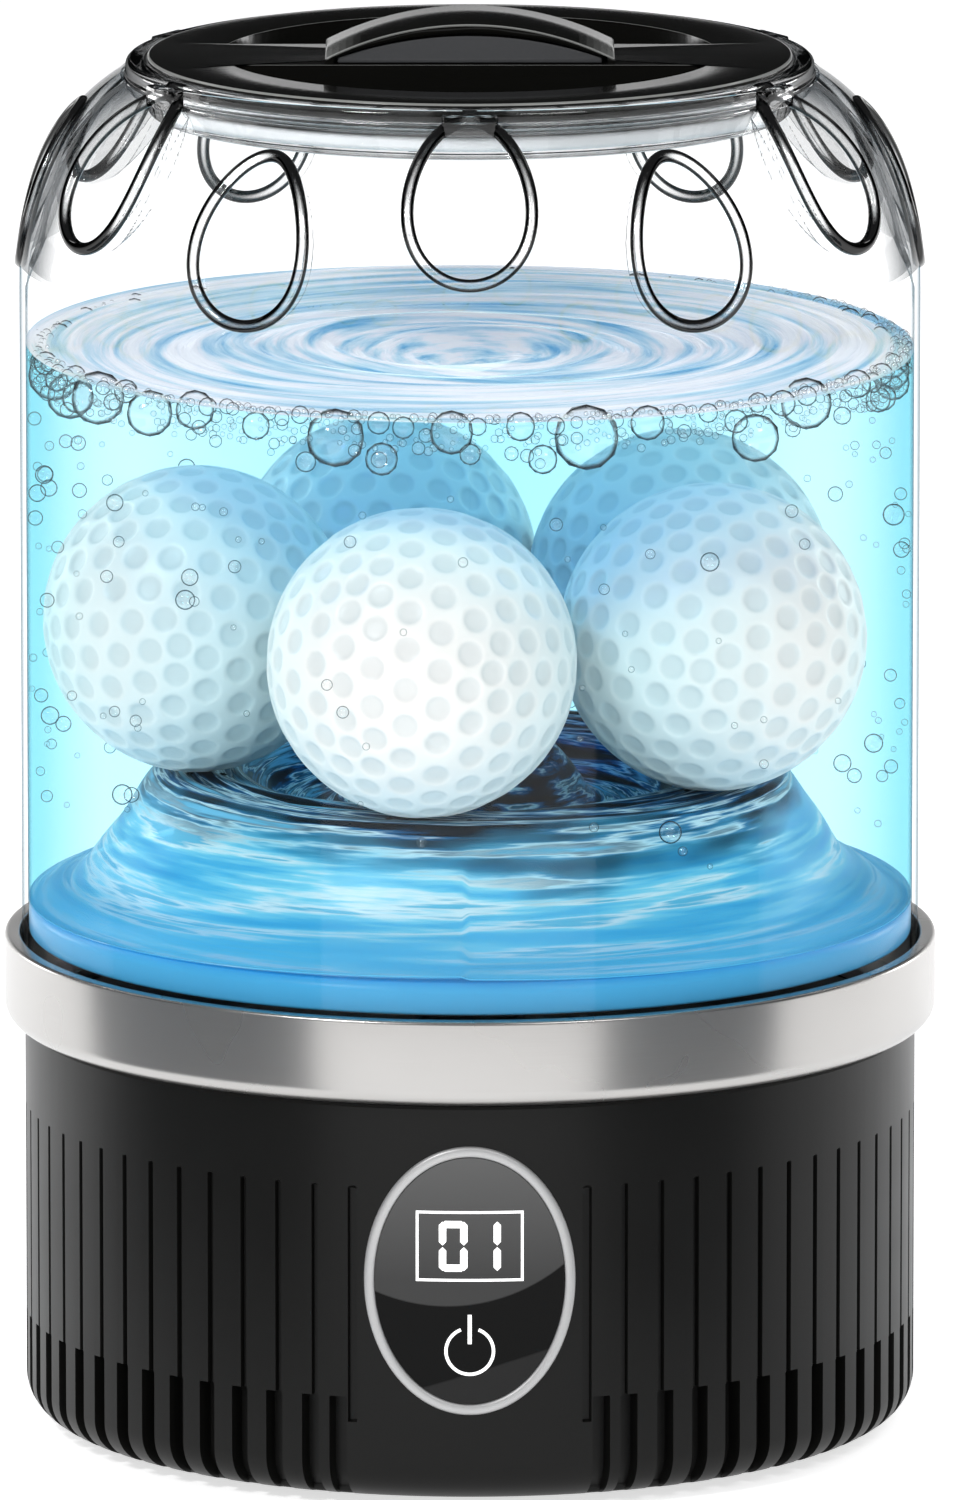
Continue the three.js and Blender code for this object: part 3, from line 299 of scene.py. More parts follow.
def rounded(corners, radii, steps=5):
    """A closed profile whose corners are rounded by their own radii."""
    points = []
    for i, radius in enumerate(radii):
        here, before, after = (np.array(corners[k % len(corners)], float) for k in (i, i - 1, i + 1))
        before, after = ((end - here) / np.linalg.norm(end - here) for end in (before, after))
        half = math.acos(np.clip(before @ after, -1, 1)) / 2
        reach = radius / math.tan(half)
        start, end = here + before * reach, here + after * reach
        centre = here + (before + after) / np.linalg.norm(before + after) * radius / math.sin(half)
        for share in np.linspace(0, 1, steps + 1) if radius else ():
            spoke = (start - centre) * (1 - share) + (end - centre) * share
            points.append(centre + spoke / np.linalg.norm(spoke) * radius)
        if not radius:
            points.append(here)
    return points


def flat_up(u, v, depth):
    """An outline in plan, pushed up."""
    return (u, v, depth)


def facing_front(u, v, depth):
    """An outline in width and height, pushed towards the front."""
    return (u, -depth, v)


def prism(name, outline, near, far, place, sharp=35):
    """Pushes a closed outline from one depth to another. place turns (u, v, depth) into a point."""
    count = len(outline)
    points = [place(u, v, depth) for depth in (near, far) for u, v in outline]
    faces = [tuple(range(count)), tuple(range(count, 2 * count))]
    faces += [(i, (i + 1) % count, count + (i + 1) % count, count + i) for i in range(count)]
    return add_mesh(name, points, faces, sharp)


def swept(name, path, radius, steps):
    """A closed round tube along a path of points, kept square to the path."""
    path = np.asarray(path, float)
    along = np.roll(path, -1, axis=0) - np.roll(path, 1, axis=0)
    along /= np.linalg.norm(along, axis=1)[:, None]
    side = path - path.mean(axis=0)
    side -= along * (side * along).sum(axis=1)[:, None]
    side /= np.linalg.norm(side, axis=1)[:, None]
    turn = full_turn(steps)[None, :, None]
    spokes = np.cos(turn) * side[:, None] + np.sin(turn) * np.cross(along, side)[:, None]
    points = (path[:, None] + radius * spokes).reshape(-1, 3)
    return add_mesh(name, points, skin_faces(len(path), steps), 60)


def joined(name, pieces, sharp=40):
    """One object from several, with the parts dropped."""
    work = bmesh.new()
    for piece in pieces:
        work.from_mesh(piece.data)
    mesh = bpy.data.meshes.new(name)
    work.to_mesh(mesh)
    work.free()
    for piece in pieces:
        bpy.data.objects.remove(piece, do_unlink=True)
    smooth(mesh, sharp)
    return add_object(name, mesh)


def modify(piece, kind, sharp, **settings):
    """Runs one modifier and makes its result the piece's mesh."""
    modifier = piece.modifiers.new("step", kind)
    for name, value in settings.items():
        setattr(modifier, name, value)
    graph = bpy.context.evaluated_depsgraph_get()
    mesh = bpy.data.meshes.new_from_object(piece.evaluated_get(graph))
    piece.modifiers.clear()
    piece.data = mesh
    smooth(mesh, sharp)


def cut(piece, tool, operation="DIFFERENCE"):
    """Cuts a piece with a tool, or joins them, and drops the tool."""
    modify(piece, "BOOLEAN", 35, object=tool, operation=operation, solver="EXACT")
    bpy.data.objects.remove(tool, do_unlink=True)


def bevel(piece, width, steps=2):
    """Rounds the sharp edges of a piece a little, as every moulded edge is."""
    modify(piece, "BEVEL", 50, width=width * MM, segments=steps, limit_method="ANGLE",
           angle_limit=math.radians(35))


def dress(piece, material, body, slot, *nodes):
    """Gives a piece its finish, the body that it moves with and the frame nodes it stands for."""
    piece.data.materials.clear()
    piece.data.materials.append(material)
    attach(piece, body)
    if nodes:
        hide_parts(*nodes)
    print(piece.name, len(piece.data.polygons), "faces, rides on", body)
    return piece


# %% [markdown]
# ## Solid finishes
# One function covers the finishes that let no light through. Each is named for its real material
# and how it was made. A fine noise shifts the colour and roughness a little and raises a faint
# grain, because no moulded or anodised surface is perfectly even. The grain size is the real one
# in millimetres.

# %% A finish with its own grain
CLOUD = 25
# Slopes of the thin rounded edges that take a painted highlight colour.
EDGE_HIGHLIGHT_SLOPES = ((0.2, "#000000"), (0.3, "#ffffff"), (0.86, "#ffffff"), (0.94, "#000000"))


def finish(name, colour, shade, roughness, grain, relief, metallic=0.0, ior=1.5,
           stretch=(1, 1, 1), spread=0.08, edge=None):
    """An opaque finish. grain is its pattern's size in mm, relief the depth of it in mm. edge is a
    painted highlight colour for the thin rounded edges, told by their slope."""
    material, tree = new_material(name)
    place = put(tree, "TexCoord").outputs["Object"]
    scaled = put(tree, "VectorMath", {0: place, 1: stretch}, operation="MULTIPLY")
    fine = put(tree, "TexNoise", {"Vector": scaled, "Scale": 1 / (grain * MM), "Detail": 3.0,
                                  "Roughness": 0.6})
    broad = put(tree, "TexNoise", {"Vector": place, "Scale": 1 / (CLOUD * MM), "Detail": 2.0})
    both = put(tree, "Math", {0: fine, 1: broad}, operation="MULTIPLY")
    tone = put(tree, "Mix", {"Factor": both, "A": colour, "B": shade}, data_type="RGBA")
    # Painted highlight: edges between flat and upright take the paler edge colour.
    if edge:
        facet = put(tree, "NewGeometry").outputs["True Normal"]
        slope = put(tree, "SeparateXYZ", {"Vector": facet}).outputs["Z"]
        band = put(tree, "ValToRGB", {"Fac": slope}, EDGE_HIGHLIGHT_SLOPES)
        tone = put(tree, "Mix", {"Factor": band, "A": tone, "B": edge}, data_type="RGBA")
    rough = put(tree, "MapRange", {"Value": broad, "To Min": roughness - spread,
                                   "To Max": roughness + spread})
    bump = put(tree, "Bump", {"Height": fine, "Distance": relief * MM, "Strength": 1.0})
    values = {"Base Color": tone, "Roughness": rough, "Metallic": metallic, "Normal": bump}
    if not metallic:
        values["IOR"] = ior
    put(tree, "OutputMaterial", {"Surface": put(tree, "BsdfPrincipled", values)})
    return material


# ABS, moulded and lightly spark-textured: a soft black that goes grey where it turns away.
casing_black = finish("abs_spark_textured_black", "#0b0b0a", "#111110", 0.36, 0.35, 0.004, ior=1.28)
# ABS, high gloss: nearly a mirror, so its black shows what is round it. Its thin rounded edges
# are painted a pale grey as a painted highlight line.
lid_black = finish("abs_high_gloss_black", "#10100e", "#141412", 0.13, 0.9, 0.001, ior=1.3,
                   spread=0.04, edge="#8f908e")
# The same black ABS on the grip's face, painted a lighter grey as painted light for the light
# that the face catches.
grip_face_painted_light = finish("abs_black_painted_lighter", "#505153", "#434446", 0.25, 0.8, 0.001, spread=0.04)
# Aluminium, turned and satin anodised: soft vertical bands of light.
ring_metal = finish("aluminium_satin_anodised", "#bcbab8", "#b1afad", 0.27, 0.5, 0.002, 1.0,
                    stretch=(0.05, 0.05, 2.5), spread=0.04)
# Aluminium with a bead-blasted paint, fine and pale.
bezel_metal = finish("aluminium_bead_blasted", "#bdbdbd", "#adadae", 0.45, 0.22, 0.010, 0.6)
# Silicone rubber, moulded: dull and a little dusty.
black_rubber = finish("silicone_moulded_black", "#1b1b1c", "#242425", 0.7, 0.6, 0.01)
grey_rubber = finish("silicone_moulded_grey", "#8b9094", "#7c8185", 0.6, 0.6, 0.01)
# Steel, drawn and nickel plated: bright, with faint draw lines.
plated_steel = finish("steel_nickel_plated", "#b9bbbd", "#a5a7a9", 0.25, 0.4, 0.002, 1.0)
# Bronze, sintered: warm, dull and porous.
sintered_bronze = finish("bronze_sintered", "#a07a4c", "#8a663c", 0.45, 0.3, 0.01, 1.0)
# Epoxy board under solder mask: glossy green.
solder_mask = finish("epoxy_board_solder_mask", "#1e5c3b", "#174b30", 0.35, 1.2, 0.004)
# Shrink wrap, printed plain blue.
shrink_wrap = finish("pvc_shrink_wrap_blue", "#2e6dae", "#2a649f", 0.3, 1.5, 0.004)
# ABS, moulded mid grey.
moulded_grey = finish("abs_moulded_grey", "#6b6e71", "#626568", 0.45, 0.5, 0.006)
print("finishes:", len(bpy.data.materials))

# %% [markdown]
# ## Clear finishes
# Clear plastic hardly shows itself: what is seen is the light that its skin reflects and the
# darker line where it is looked at edge on. The cup's wall is thin, so its light goes straight
# through. The rims are thick, so they bend light like lenses and need true refraction.

# %% Make the clear plastics
def edge_share(tree, straight_on, start, end):
    """How much a clear skin shows itself: little straight on, all of it edge on."""
    facing = put(tree, "LayerWeight").outputs["Facing"]
    return put(tree, "MapRange", {"Value": facing, "From Min": start, "From Max": end,
                                  "To Min": straight_on}, interpolation_type="SMOOTHSTEP")


def edge_tint(tree, edge, start, end):
    """A colour that is clear straight on and takes the edge's shade where it is edge on."""
    share = edge_share(tree, 0.0, start, end)
    return put(tree, "Mix", {"Factor": share, "A": "#ffffff", "B": edge}, data_type="RGBA")


def without_shadow(tree, shader):
    """The same surface for the eye, but light falls through it and keeps what is inside bright."""
    shadow = put(tree, "LightPath").outputs["Is Shadow Ray"]
    return put(tree, "MixShader", {0: shadow, 1: shader, 2: put(tree, "BsdfTransparent")})


def uneven(tree, size, depth):
    """The slight waves of a moulded skin, with their size and depth in mm."""
    place = put(tree, "TexCoord").outputs["Object"]
    waves = put(tree, "TexNoise", {"Vector": place, "Scale": 1 / (size * MM)})
    return put(tree, "Bump", {"Height": waves, "Distance": depth * MM})


def clear_skin(name, edge, dark_range, shine, shine_range, roughness=0.03):
    """Thin clear matter: light goes straight through, and it shades and shines edge on."""
    material, tree = new_material(name)
    through = put(tree, "BsdfTransparent", {"Color": edge_tint(tree, edge, *dark_range)})
    gloss = put(tree, "BsdfGlossy", {"Color": "#ffffff", "Roughness": roughness,
                                     "Normal": uneven(tree, 18, 0.02)})
    mix = put(tree, "MixShader", {0: edge_share(tree, shine, *shine_range), 1: through, 2: gloss})
    put(tree, "OutputMaterial", {"Surface": without_shadow(tree, mix)})
    return material


def thick_clear(name, ior, edge, dark_range):
    """Thick clear plastic that bends light."""
    material, tree = new_material(name)
    glass = put(tree, "BsdfGlass", {"Color": edge_tint(tree, edge, *dark_range), "Roughness": 0.0,
                                    "IOR": ior, "Normal": uneven(tree, 12, 0.01)})
    put(tree, "OutputMaterial", {"Surface": without_shadow(tree, glass)})
    return material


# Polycarbonate, moulded and polished: clear, with grey-blue edges.
cup_clear = clear_skin("polycarbonate_polished_clear", "#8ba1ab", (0.84, 1.0), 0.01, (0.88, 1.2))
# The dome is the same plastic with more shine, because it curves through every angle.
dome_clear = clear_skin("polycarbonate_polished_dome", "#39464e", (0.55, 0.98), 0.025, (0.72, 1.15))
# Where it is thick, as in the collar round the lid, it bends light.
rim_clear = thick_clear("polycarbonate_thick_rim", 1.49, "#262b2f", (0.55, 1.0))
# The beads round the flats act as strong lenses: bright in the middle, black along both edges.
bead_clear = clear_skin("polycarbonate_rounded_bead", "#040506", (0.04, 0.26), 0.05, (0.5, 1.3))
# Air in water: clear in the middle, with a dark blue ring where its skin turns away.
bubble_clear = clear_skin("air_bubble_in_water", "#031f2e", (0.4, 0.8), 0.07, (0.8, 1.3), 0.04)
# Silicone, clear grade: milky and soft.
milky_silicone = finish("silicone_translucent_milky", "#e4e9ec", "#d8dee2", 0.45, 0.8, 0.004, ior=1.41)
# Polycarbonate, tinted blue in the melt: the floor that closes the cup.
blue_floor = finish("polycarbonate_tinted_blue", "#46a6d8", "#3a98cc", 0.3, 14.0, 0.004, ior=1.2)

# %% [markdown]
# ## Water finishes
# The blue of the wash water comes from the depth that light crosses: absorption takes red away
# over the width of the cup and leaves thin places nearly clear. The spinning disc drags streaks
# of light and dark round in the water. They are drawn by a noise that is stretched along circles:
# the direction from the axis feeds it slowly and the distance from the axis feeds it fast.

# %% Make the water
WATER_DENSITY, WATER_TINT = 9.0, "#45e3f6"
FILM_STREAKS = ((0.3, "#74c6de"), (0.38, "#b6ebf4"), (0.46, "#dafafc"), (0.55, "#f8feff"))
DARK_STREAKS = ((0.36, "#030608"), (0.44, "#0a1f30"), (0.49, "#1b6a9e"), (0.525, "#e8f7fc"),
                (0.56, "#1a4a68"), (0.64, "#7fc4e4"))
LIGHT_STREAKS = ((0.34, "#3da4d8"), (0.44, "#58bce4"), (0.52, "#8adcf2"), (0.58, "#eefcff"),
                 (0.62, "#6ecbea"))


def round_streaks(tree, ring, length, twist, detail=4.0):
    """Noise stretched along circles. ring is the width of a streak and length its length, in mm."""
    place = put(tree, "TexCoord").outputs["Object"]
    flat = put(tree, "VectorMath", {0: place, 1: (1 / MM, 1 / MM, 0)}, operation="MULTIPLY")
    reach = put(tree, "VectorMath", {0: flat}, operation="LENGTH")
    turn = put(tree, "Math", {0: reach, 1: twist}, operation="MULTIPLY")
    spin = put(tree, "VectorRotate", {"Vector": flat, "Angle": turn}, rotation_type="Z_AXIS")
    way = put(tree, "VectorMath", {0: spin}, operation="NORMALIZE")
    slow = put(tree, "VectorMath", {0: way, "Scale": 30 / length}, operation="SCALE")
    fast = put(tree, "Math", {0: reach, 1: 1 / ring}, operation="MULTIPLY")
    both = put(tree, "VectorMath", {0: slow, 1: put(tree, "CombineXYZ", {"Z": fast})})
    noise = put(tree, "TexNoise", {"Vector": both, "Scale": 1.0, "Detail": detail, "Roughness": 0.55})
    return noise, reach


def wall_skin(tree):
    """Water against the wall: a little blue edge on, where the round wall would bend the light
    through more water."""
    return put(tree, "BsdfTransparent", {"Color": edge_tint(tree, "#bfe9f1", 0.3, 0.85)})


def top_film(tree):
    """The pale streaked film on top, with the blue water shining through it; it also glows a little, as
    painted light.
    """
    noise, _ = round_streaks(tree, 2.6, 34, 0.012)
    tone = put(tree, "ValToRGB", {"Fac": noise}, FILM_STREAKS)
    bump = put(tree, "Bump", {"Height": noise, "Distance": 0.8 * MM})
    # The film's emission is painted light: it makes the streaks glow a little.
    film = put(tree, "BsdfPrincipled", {"Base Color": tone, "Roughness": 0.15, "IOR": 1.15, "Normal": bump,
                                        "Emission Color": tone, "Emission Strength": 0.4})
    cover = put(tree, "MapRange", {"Value": noise, "From Min": 0.35, "From Max": 0.6,
                                   "To Min": 0.5, "To Max": 0.8})
    return put(tree, "MixShader", {0: cover, 1: put(tree, "BsdfTransparent"), 2: film})


def water_material(name, surface):
    """Blue wash water under its own skin: its colour comes from the depth that light crosses."""
    material, tree = new_material(name)
    depth = put(tree, "VolumeAbsorption", {"Color": WATER_TINT, "Density": WATER_DENSITY})
    put(tree, "OutputMaterial", {"Surface": without_shadow(tree, surface(tree)), "Volume": depth})
    return material


def swirl_material():
    """Churned water round the disc: dark in the middle, with light and blue streaks outside."""
    material, tree = new_material("wash_water_churned")
    noise, reach = round_streaks(tree, 1.5, 24, 0.03)
    broad, _ = round_streaks(tree, 5.0, 15, 0.03, 2.0)
    dark = put(tree, "ValToRGB", {"Fac": noise}, DARK_STREAKS)
    light = put(tree, "ValToRGB", {"Fac": noise}, LIGHT_STREAKS)
    wander = put(tree, "Math", {0: broad, 1: 16.0}, operation="MULTIPLY")
    edge = put(tree, "Math", {0: reach, 1: wander})
    outside = put(tree, "MapRange", {"Value": edge, "From Min": 51.0, "From Max": 57.0})
    calm = put(tree, "MapRange", {"Value": reach, "From Min": 50.0, "From Max": 58.0, "To Max": 0.7})
    outer = put(tree, "Mix", {"Factor": calm, "A": light, "B": "#4fb2e0"}, data_type="RGBA")
    tone = put(tree, "Mix", {"Factor": outside, "A": dark, "B": outer}, data_type="RGBA")
    solid = put(tree, "MapRange", {"Value": noise, "From Min": 0.35, "From Max": 0.6,
                                   "To Min": 0.95, "To Max": 0.6})
    inner = put(tree, "Math", {0: 1.0, 1: outside}, operation="SUBTRACT")
    cover = put(tree, "Math", {0: solid, 1: inner}, operation="MAXIMUM")
    shader = put(tree, "BsdfPrincipled", {"Base Color": tone, "Roughness": 0.28, "IOR": 1.2,
                                          "Alpha": cover})
    put(tree, "OutputMaterial", {"Surface": without_shadow(tree, shader)})
    return material


water_side = water_material("wash_water_side", wall_skin)
water_top = water_material("wash_water_surface", top_film)
water_churned = swirl_material()
print("clear finishes ready")

# %% [markdown]
# ## Casing
# The black casing is moulded ABS with a thin groove every five degrees and a wider flute under
# each. Cutting a hundred tools out of a drum is slow and leaves ragged shading, so the skin is
# written as a grid instead: columns stand on the edges of every groove and flute, and each point
# is pushed in by the depth of the groove there.

# %% Make the ribbed casing
GROOVE_WIDTH, GROOVE_DEPTH, GROOVE_TOP = 0.9, 0.7, CASING_TOP - 11.4
EDGE_GROOVE_WIDTH, EDGE_GROOVE_BOTTOM = 1.3, CASING_TOP - 44.6
FLUTE_WIDTH, FLUTE_DEPTH, FLUTE_TOP = 2.5, 2.3, CASING_TOP - 41.1
GROOVE_STEP, FIRST_GROOVE, FLUTE_LEAD, EDGE_FLUTE_LEAD = 5, 15, 0.6, 1.9
PORT_SKIP, PORT_ROOM, SOCKET_DEEP = 8, 0.3, 8
SMOOTH_ROWS = [20, 30, 38, 48]


def groove_list():
    """Every groove as (middle angle, width, bottom, top, depth)."""
    grooves = []
    for angle in range(FIRST_GROOVE, 360 - FIRST_GROOVE + 1, GROOVE_STEP):
        at_edge = angle in (FIRST_GROOVE, 360 - FIRST_GROOVE)
        width, bottom, lead = (EDGE_GROOVE_WIDTH, EDGE_GROOVE_BOTTOM, EDGE_FLUTE_LEAD) if at_edge else (
            GROOVE_WIDTH, FLUTE_TOP - 1, FLUTE_LEAD)
        if abs(angle - 180) > PORT_SKIP:
            grooves.append((angle, width, bottom, GROOVE_TOP, GROOVE_DEPTH))
        grooves.append((angle + math.copysign(lead, 180 - angle), FLUTE_WIDTH, -5, FLUTE_TOP, FLUTE_DEPTH))
    return grooves


def side_slope(width):
    """How wide the slope of a groove's side is."""
    return min(0.16, width / 5)


def groove_depth(angle, height, grooves):
    """How far the skin is pushed in at an angle and height."""
    deepest = np.zeros_like(height)
    for middle, width, bottom, top, depth in grooves:
        across = math.radians(abs((angle - middle + 180) % 360 - 180)) * CASING_R
        if across > width / 2 + 0.3:
            continue
        if depth == FLUTE_DEPTH:
            inside = np.minimum(width / 2 - across, top - height)
        else:
            bend = np.hypot(across, np.maximum(height - (top - width / 2), 0))
            inside = np.minimum(width / 2 - bend, height - bottom)
        deepest = np.maximum(deepest, depth * np.clip(inside / side_slope(width), 0, 1))
    return deepest


def casing_skin():
    """The casing's outer skin and plain inside as one closed grid."""
    grooves = groove_list()
    angles = set(np.arange(0, 360, 1.25))
    for middle, width, *_ in grooves:
        for offset in (width / 2, width / 2 - side_slope(width)):
            turn = math.degrees(offset / CASING_R)
            angles.update([round((middle - turn) % 360, 4), round((middle + turn) % 360, 4)])
    fillet = [(CASING_R - CASING_FILLET * (1 - math.sin(t)),
               CASING_BOTTOM + CASING_FILLET * (1 - math.cos(t))) for t in np.linspace(0, math.pi / 2, 12)]
    rows = SMOOTH_ROWS + [FLUTE_TOP + rise for rise in (-3, -1.1, -1, -0.16, 0, 0.01)]
    rows += [GROOVE_TOP - drop for drop in np.append(np.linspace(0.7, 0, 9), -0.05)]
    rows += [EDGE_GROOVE_BOTTOM + rise for rise in (-0.05, 0, 0.25)] + [CASING_TOP - 0.4]
    outer = np.array(fillet + [(CASING_R, z) for z in sorted(rows)] + [(CASING_R - 0.3, CASING_TOP)])
    inner = [(CASING_R - 2.6, CASING_TOP), (CASING_R - 4.2, 20), (CASING_R - 7.5, CASING_BOTTOM + 3)]
    fade = np.clip((outer[:, 1] - CASING_BOTTOM) / 1.5, 0, 1)

    def column(turn):
        """The casing's profile at one turn, pushed in by the grooves."""
        push = groove_depth(math.degrees(turn), outer[:, 1], grooves) * fade
        return list(zip(outer[:, 0] - push, outer[:, 1])) + inner

    return spun("casing", np.radians(sorted(angles)), column, 32)


def cut_port(node, deep):
    """Cuts room for a node out of the casing's back, from a depth outwards."""
    x0, _, z0 = (value - PORT_ROOM for value in low(node))
    x1, _, z1 = (value + PORT_ROOM for value in high(node))
    outline = [(x0, z0), (x1, z0), (x1, z1), (x0, z1)]
    cut(casing, prism("tool", outline, -deep, -CASING_R - 1, facing_front))


casing = casing_skin()
cut_port("port_flap", low("port_flap")[1] - PORT_ROOM)
cut_port("charging_socket", CASING_R - SOCKET_DEEP)
dress(casing, casing_black, "base", "base_shell", "base_shell")

# %% [markdown]
# ## Ring
# The silver ring is turned aluminium: a plain band with a rounded lower edge, a small polished
# chamfer at the top and a flat lip that the cup drops into. A turned profile with a few rounded
# corners is all it needs; the anodised finish does the rest.

# %% Make the ring
RING_BORE, RING_LIP, LIP_THICK = CUP_R + 0.3, 5, 2.3
ring_profile = rounded(
    [(RING_BORE - RING_LIP, RING_BOTTOM), (RING_R, RING_BOTTOM), (RING_R, RING_TOP), (RING_BORE, RING_TOP),
     (RING_BORE, RING_BOTTOM + LIP_THICK), (RING_BORE - RING_LIP, RING_BOTTOM + LIP_THICK)],
    [0.3, 2.4, 0.55, 0.35, 0.2, 0.3], 6)
dress(turned("silver_ring", ring_profile, 256), ring_metal, "base", "trim_ring", "trim_ring")

# %% [markdown]
# ## Control panel
# The panel is an oval window set into the curved casing. Flat shapes drawn in width and height
# are wrapped onto a drum of the right radius, so the frame, the lens and the printing all follow
# the curve. The bezel is a rounded band; the lens is a glossy sheet a little behind it.

# %% Wrap the bezel and the lens
PANEL_CENTRE = middle_of("panel_bezel")[2]
PANEL_HALF_WIDTH, PANEL_HALF_HEIGHT = 14.6, half_size("panel_bezel", 2) - 1.4
BAND, LENS_R, LENS_THICK = 1.5, CASING_R + 0.3, 1.6
BAND_SECTION = ((0, -1.2), (0, 0.15), (0.15, 0.45), (0.45, 0.6), (BAND - 0.45, 0.6), (BAND - 0.15, 0.45),
                (BAND, 0.15), (BAND, -1.2))


def on_drum(x, z, radius):
    """A point drawn at width x and height z, wrapped onto a drum of this radius facing the front."""
    return around(radius, x / CASING_R, z)


def oval_skin(name, section, steps, sharp, hole=True):
    """A skin along the panel's oval. section is made of (inset, share of the way out, radius).
    Without a hole it ends in the middle, so no faces join its last points to its first ones."""
    points = []
    for turn in full_turn(steps):
        for inset, share, radius in section:
            x = (PANEL_HALF_WIDTH - inset) * share * math.sin(turn)
            z = PANEL_CENTRE + (PANEL_HALF_HEIGHT - inset) * share * math.cos(turn)
            points.append(on_drum(x, z, radius))
    faces = skin_faces(steps, len(section))
    if not hole:
        del faces[len(section) - 1::len(section)]
    return add_mesh(name, points, faces, sharp)


frame_section = [(inset, 1, CASING_R + proud) for inset, proud in BAND_SECTION]
dress(oval_skin("panel_frame", frame_section, 160, 50), bezel_metal, "base", "panel_bezel", "panel_bezel")

# %% [markdown]
# The lens is smoked acrylic. Its colour holds a painted reflection: a lighter field above and a
# black field that meet in a sweeping curve, the lighter field painted paler towards the top, and a
# painted lighter sheen along the bottom. The edge of the reflection is a circle in the panel's own
# plane, so it is worked out from the distance to the circle's middle, in millimetres.

# %% Finish the lens
# The circle that edges the painted reflection, and the sloping line above the painted lower sheen.
REFLECTION_MIDDLE, REFLECTION_RADIUS, REFLECTION_BLUR = (-3.3, 0, PANEL_CENTRE + 22.5), 26.0, 0.12
LOW_SHEEN_DROP, LOW_SHEEN_SLOPE = 13.2, -0.31


def lens_finish():
    """Smoked acrylic, polished, with a painted reflection in two blacks."""
    material, tree = new_material("acrylic_smoked_polished")
    place = put(tree, "TexCoord").outputs["Object"]
    flat = put(tree, "VectorMath", {0: place, 1: (1 / MM, 0, 1 / MM)}, operation="MULTIPLY")
    away = put(tree, "VectorMath", {0: flat, 1: REFLECTION_MIDDLE}, operation="DISTANCE")
    # Painted reflection: the lighter part lies inside the circle.
    field = put(tree, "MapRange", {"Value": away, "From Min": REFLECTION_RADIUS - REFLECTION_BLUR,
                                   "From Max": REFLECTION_RADIUS + REFLECTION_BLUR, "To Min": 1.0, "To Max": 0.0})
    parts = put(tree, "SeparateXYZ", {"Vector": flat})
    rise = put(tree, "MapRange", {"Value": parts.outputs["Z"], "From Min": PANEL_CENTRE,
                                  "From Max": PANEL_CENTRE + PANEL_HALF_HEIGHT})
    # The painted reflection grows paler towards the top.
    pale = put(tree, "Mix", {"Factor": rise, "A": "#3f3f3f", "B": "#5f5f5f"}, data_type="RGBA")
    # Painted lower sheen: lighter below a sloping line near the bottom.
    slope = put(tree, "Math", {0: parts.outputs["X"], 1: LOW_SHEEN_SLOPE}, operation="MULTIPLY")
    line = put(tree, "Math", {0: parts.outputs["Z"], 1: slope})
    foot = put(tree, "MapRange", {"Value": line, "From Min": PANEL_CENTRE - LOW_SHEEN_DROP,
                                  "From Max": PANEL_CENTRE - LOW_SHEEN_DROP + 0.3})
    dark = put(tree, "Mix", {"Factor": foot, "A": "#242424", "B": "#060606"}, data_type="RGBA")
    tone = put(tree, "Mix", {"Factor": field, "A": dark, "B": pale}, data_type="RGBA")
    shader = put(tree, "BsdfPrincipled", {"Base Color": tone, "Roughness": 0.08, "IOR": 1.2})
    put(tree, "OutputMaterial", {"Surface": shader})
    return material


shares = np.linspace(0, 1, 15)
window_section = [(BAND + 0.05, share, LENS_R) for share in shares]
window_section += [(BAND + 0.05, share, LENS_R - LENS_THICK) for share in shares[::-1]]
dress(oval_skin("panel_window", window_section, 120, 40, False), lens_finish(), "base", "panel_lens",
      "panel_lens")

# %% [markdown]
# The readout and the touch mark are lit from behind, so they are thin white shapes that glow a
# little. The readout is a plain seven-segment number. Each bar is a strip of pairs of points
# across its length, which can be wrapped on the drum like the lens.

# %% Print the readout and the touch mark
DIGIT_WIDTH, DIGIT_HEIGHT, BAR, BAR_GAP = 3.9, 7.1, 1.0, 0.12
READOUT = ((-2.25, "abcdef"), (3.75, "bc"))
READOUT_CENTRE, FRAME_HALF_HEIGHT = middle_of("display_module")[2], half_size("display_module", 2)
FRAME_HALF_WIDTH, FRAME_LINE = 7.35, 0.36
TOUCH_CENTRE = middle_of("touch_pad")[2]
TOUCH_R, TOUCH_LINE, TOUCH_BAR_HALF, TOUCH_OPEN = 3.24, 0.44, 0.27, 22


def strip(name, pairs):
    """A thin raised strip on the lens from pairs of points across its length."""
    points = [on_drum(*end, LENS_R + proud) for proud in (0.06, -0.05) for pair in pairs for end in pair]
    count = 2 * len(pairs)
    faces = [(0, 1, count + 1, count), (count - 2, count - 1, 2 * count - 1, 2 * count - 2)]
    for a in range(0, count - 2, 2):
        faces += [(a, a + 1, a + 3, a + 2), (count + a, count + a + 1, count + a + 3, count + a + 2)]
        faces += [(a + k, a + k + 2, count + a + k + 2, count + a + k) for k in (0, 1)]
    return add_mesh(name, points, faces, 30)


def segment(x, letter):
    """One bar of a seven-segment digit, with pointed ends."""
    half_w, half_h, half_bar, z = DIGIT_WIDTH / 2, DIGIT_HEIGHT / 2, BAR / 2, READOUT_CENTRE
    if letter in "agd":
        ends = (x - half_w + BAR_GAP + 0.2, x + half_w - BAR_GAP - 0.2)
    else:
        ends = (z + BAR_GAP, z + half_h - 0.1) if letter in "bf" else (z - half_h + 0.1, z - BAR_GAP)
    wide = ((ends[0], 0), (ends[0] + half_bar, half_bar), (ends[1] - half_bar, half_bar), (ends[1], 0))
    if letter in "agd":
        level = z + {"a": half_h - half_bar, "g": 0, "d": half_bar - half_h}[letter]
        return [((at, level + half), (at, level - half)) for at, half in wide]
    across = x + (half_w - half_bar if letter in "bc" else half_bar - half_w)
    return [((across - half, at), (across + half, at)) for at, half in wide]


